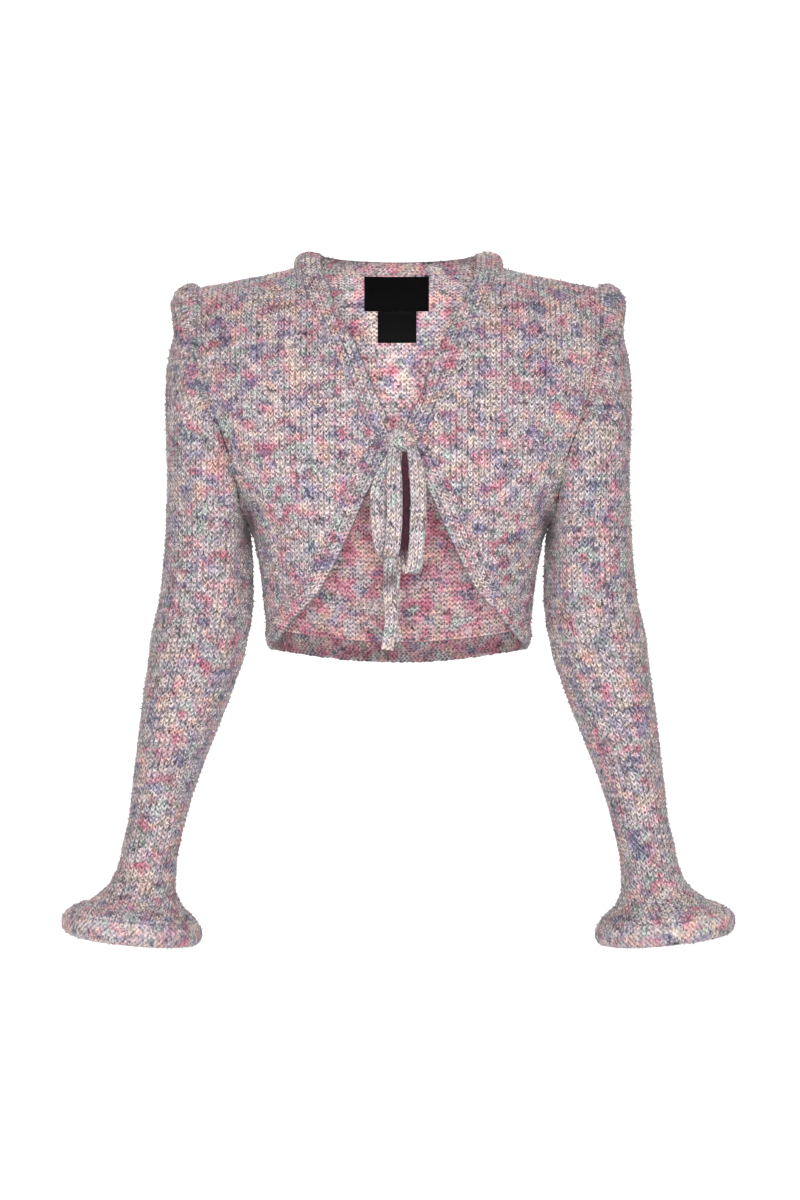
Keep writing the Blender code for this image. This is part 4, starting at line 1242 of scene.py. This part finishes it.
def satin():
    """Black woven satin: fine threads across the label, paler and duller in worn patches."""
    n = Nodes("black satin")
    threads = n.add(
        "TexWave",
        {"Vector": n.places(), "Scale": 900.0, "Distortion": 0.4, "Detail": 1.0},
        bands_direction="Z",
    ).outputs["Fac"]
    worn = n.noise(260, 3, (0, 0, 0), (1, 1, 3))
    colour = n.ramp(worn, [(0.35, linear(2, 2, 3)), (0.7, linear(8, 7, 9))])
    roughness = n.shades(worn, [(0.3, 0.5), (0.7, 0.66)])
    return n.finish(colour, roughness, 0.07, threads, 0.3, 0.0001)


# ---- The pieces ----
def stand_in(pieces, node, slot):
    """Puts a piece in for its node, with its nubs on it."""
    for each in pieces:
        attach(each, "root")
    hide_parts(node)


def place(pieces, node, slot, flat, area=None, held="hung", rests_on=(), with_pieces=()):
    """Puts a piece in for its node."""
    stand_in(pieces, node, slot)
    piece, *on_it = pieces
    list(with_pieces)
    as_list(rests_on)
    return piece


# How far each yarn's colours are moved in the noise, its pink, its slate, and its painted light,
# which makes the whole yarn lighter or darker
body_yarn = yarn("space-dyed slub knit", 0.0, 0.0, 0.0, 1.09)
sleeve_yarn = yarn("space-dyed sleeve knit", 0.0, -0.02, -0.005, 1.02)
band_yarn = yarn("space-dyed band knit", 4.0, -0.02, -0.01, 1.06, painted_inside_light=1.5)
hem_yarn = yarn("space-dyed hem knit", 6.0, 0.0, 0.0, 0.94, painted_inside_light=1.5)
tie_yarn = yarn("space-dyed tie knit", 8.0, -0.12, -0.12, 1.12)
label_satin = satin()

back = place(knitted("back_knit", back_surface, body_yarn, 41, nub_shares=(0.12, 0.18)),
             "back", "knit", (0.451, 0.423), 0.150)
for side, mirror in (("left", False), ("right", True)):
    front = knitted(f"front_{side}_knit", front_surface, body_yarn, 11 + mirror, mirror=mirror,
                    heights=level_heights, start=from_centre)
    front = place(front, f"front_{side}", "knit", (0.164, 0.402), 0.0467, rests_on=[back])
    sleeve = knitted(f"sleeve_{side}_knit", sleeve_surface, sleeve_yarn, 21 + mirror,
                     course=SLEEVE_COURSE, mirror=mirror, heights=column_heights, origin=0.25,
                     closed=True, free_edges=("first row",), purl_below=CUFF_TURN)
    place(sleeve, f"sleeve_{side}", "knit", (0.620, 0.706), 0.168, rests_on=[front, back])
    edge = knitted(f"front_band_{side}_knit", front_band_surface, band_yarn, 31 + mirror,
                   mirror=mirror, free_edges=("first column",), start=at_edge)
    place(edge, f"front_band_{side}", "band_knit", (0.0231, 0.537), rests_on=[front])
neck = knitted("neck_band_knit", neck_band_surface, band_yarn, 51, free_edges=("last column",),
               start=at_edge, nub_shares=(0.2, 0.2), tuck=-1)
place(neck, "neck_band", "band_knit", (0.0247, 0.242), 0.0052, rests_on=[back])
hem = knitted("hem_band_knit", hem_band_surface, hem_yarn, 52, free_edges=("first column",),
              start=at_edge, nub_shares=(0.2, 0.2), tuck=1)
place(hem, "hem_band", "band_knit", (0.0208, 0.343), rests_on=[back])

knot = knitted("tie_knot_knit", knot_surface, tie_yarn, 65, wale=KNOT_WALE, rise=TIE_RISE,
               closed=True, solid=True)
stand_in(knot, "tie_knot", "tie_knit")
# Painted shade where the straps lie in shadow: the right loop's bottom, the left loop's rear strand
# in the gap, and the right end below the loops
for strap, path, width, ends, seed, length, painted_shade in (
    ("tie_loop_right", LOOP_RIGHT, LOOP_STRAP, 2, 61, 0.215, painted_shade_patch(0.6, 0.50, 0.05)),
    ("tie_loop_left", LOOP_LEFT, LOOP_STRAP, 2, 62, 0.241, painted_shade_tail(0.26, 0.36)),
    ("tie_end_right", END_RIGHT, END_STRAP, 1, 63, 0.190, painted_shade_patch(0.7, 0.42, 0.04)),
    ("tie_end_left", END_LEFT, END_STRAP, 1, 64, 0.184, None),
):
    piece = knitted(f"{strap}_knit", strap_surface(path, width, ends), tie_yarn, seed,
                    wale=TIE_WALE, rise=TIE_RISE, closed=True, solid=True, painted_shade=painted_shade)
    place(piece, strap, "tie_knit", (width, length), rests_on=["tie_knot"],
          with_pieces=knot if strap == "tie_loop_right" else ())
for node, sizes, flat in (
    ("main_label", MAIN_LABEL, (0.0661, 0.0407)),
    ("care_label", CARE_LABEL, (0.0399, 0.0331)),
):
    piece = label(f"{node}_satin", sizes, label_satin)
    place([piece], node, "woven_label", flat, held="laid", rests_on=[back])

# ---- Camera, lights and stage ----
CAMERA_AWAY = 3.0
FRAME_HEIGHT = 1.2  # what the frame's long side shows at the garment
CAMERA_PLACE = (0.0015, -CAMERA_AWAY, -0.320)


def lamp(name, at, towards, size, power):
    """A white disk light at a place, turned towards another."""
    data = bpy.data.lights.new(name, "AREA")
    data.shape = "DISK"
    data.size = size
    data.energy = power
    light = bpy.data.objects.new(name, data)
    light.location = at
    x, y, z = np.array(towards) - np.array(at)
    light.rotation_euler = (np.arctan2(np.hypot(x, y), -z), 0, np.arctan2(-x, y))
    scene.collection.objects.link(light)


def sweep():
    """A pale floor that curves up into a wall: straight, a quarter circle, straight."""
    floor, bend, back_y, half, top = -1.25, 1.2, 4.5, 9.0, 6.0
    arc = np.linspace(0, np.pi / 2, 24)
    y = np.concatenate([[-9.0, 0.0], back_y - bend + bend * np.sin(arc), [back_y]])
    z = np.concatenate([[floor, floor], floor + bend - bend * np.cos(arc), [top]])
    x = np.array([-half, half])
    points = np.stack([np.tile(x, len(y)), np.repeat(y, 2), np.repeat(z, 2)], axis=-1)
    first = np.arange(len(y) - 1) * 2
    faces = np.stack([first, first + 1, first + 3, first + 2], axis=-1)
    mesh = bpy.data.meshes.new("sweep")
    mesh.from_pydata(points.tolist(), [], faces.tolist())
    mesh.shade_smooth()
    mesh.materials.append(Nodes("pale floor").finish(grey(0.92), 0.9, 0.5))
    stage = bpy.data.objects.new("sweep", mesh)
    scene.collection.objects.link(stage)


def camera():
    """A level camera that shows FRAME_HEIGHT at the garment."""
    data = bpy.data.cameras.new("camera")
    data.sensor_width = 36
    data.lens = data.sensor_width * CAMERA_AWAY / FRAME_HEIGHT
    eye = bpy.data.objects.new("camera", data)
    eye.location = CAMERA_PLACE
    eye.rotation_euler = (np.pi / 2, 0, 0)
    scene.collection.objects.link(eye)
    scene.camera = eye


sweep()
camera()
lamp("front", (0, -3.3, -0.30), (0, 0, -0.32), 0.8, 110)
for side, x in (("left", 2.4), ("right", -2.4)):
    lamp(side, (x, -2.6, -0.1), (0, 0, -0.35), 2.0, 24)
lamp("wall", (0, 1.2, 3.2), (0, 4.5, 0.0), 3.0, 160)
world = bpy.data.worlds.new("soft studio")
world.use_nodes = True
sky = world.node_tree.nodes["Background"].inputs
sky["Color"].default_value = (1, 1, 1, 1)
sky["Strength"].default_value = 0.35
scene.world = world
scene.view_settings.view_transform = "Standard"
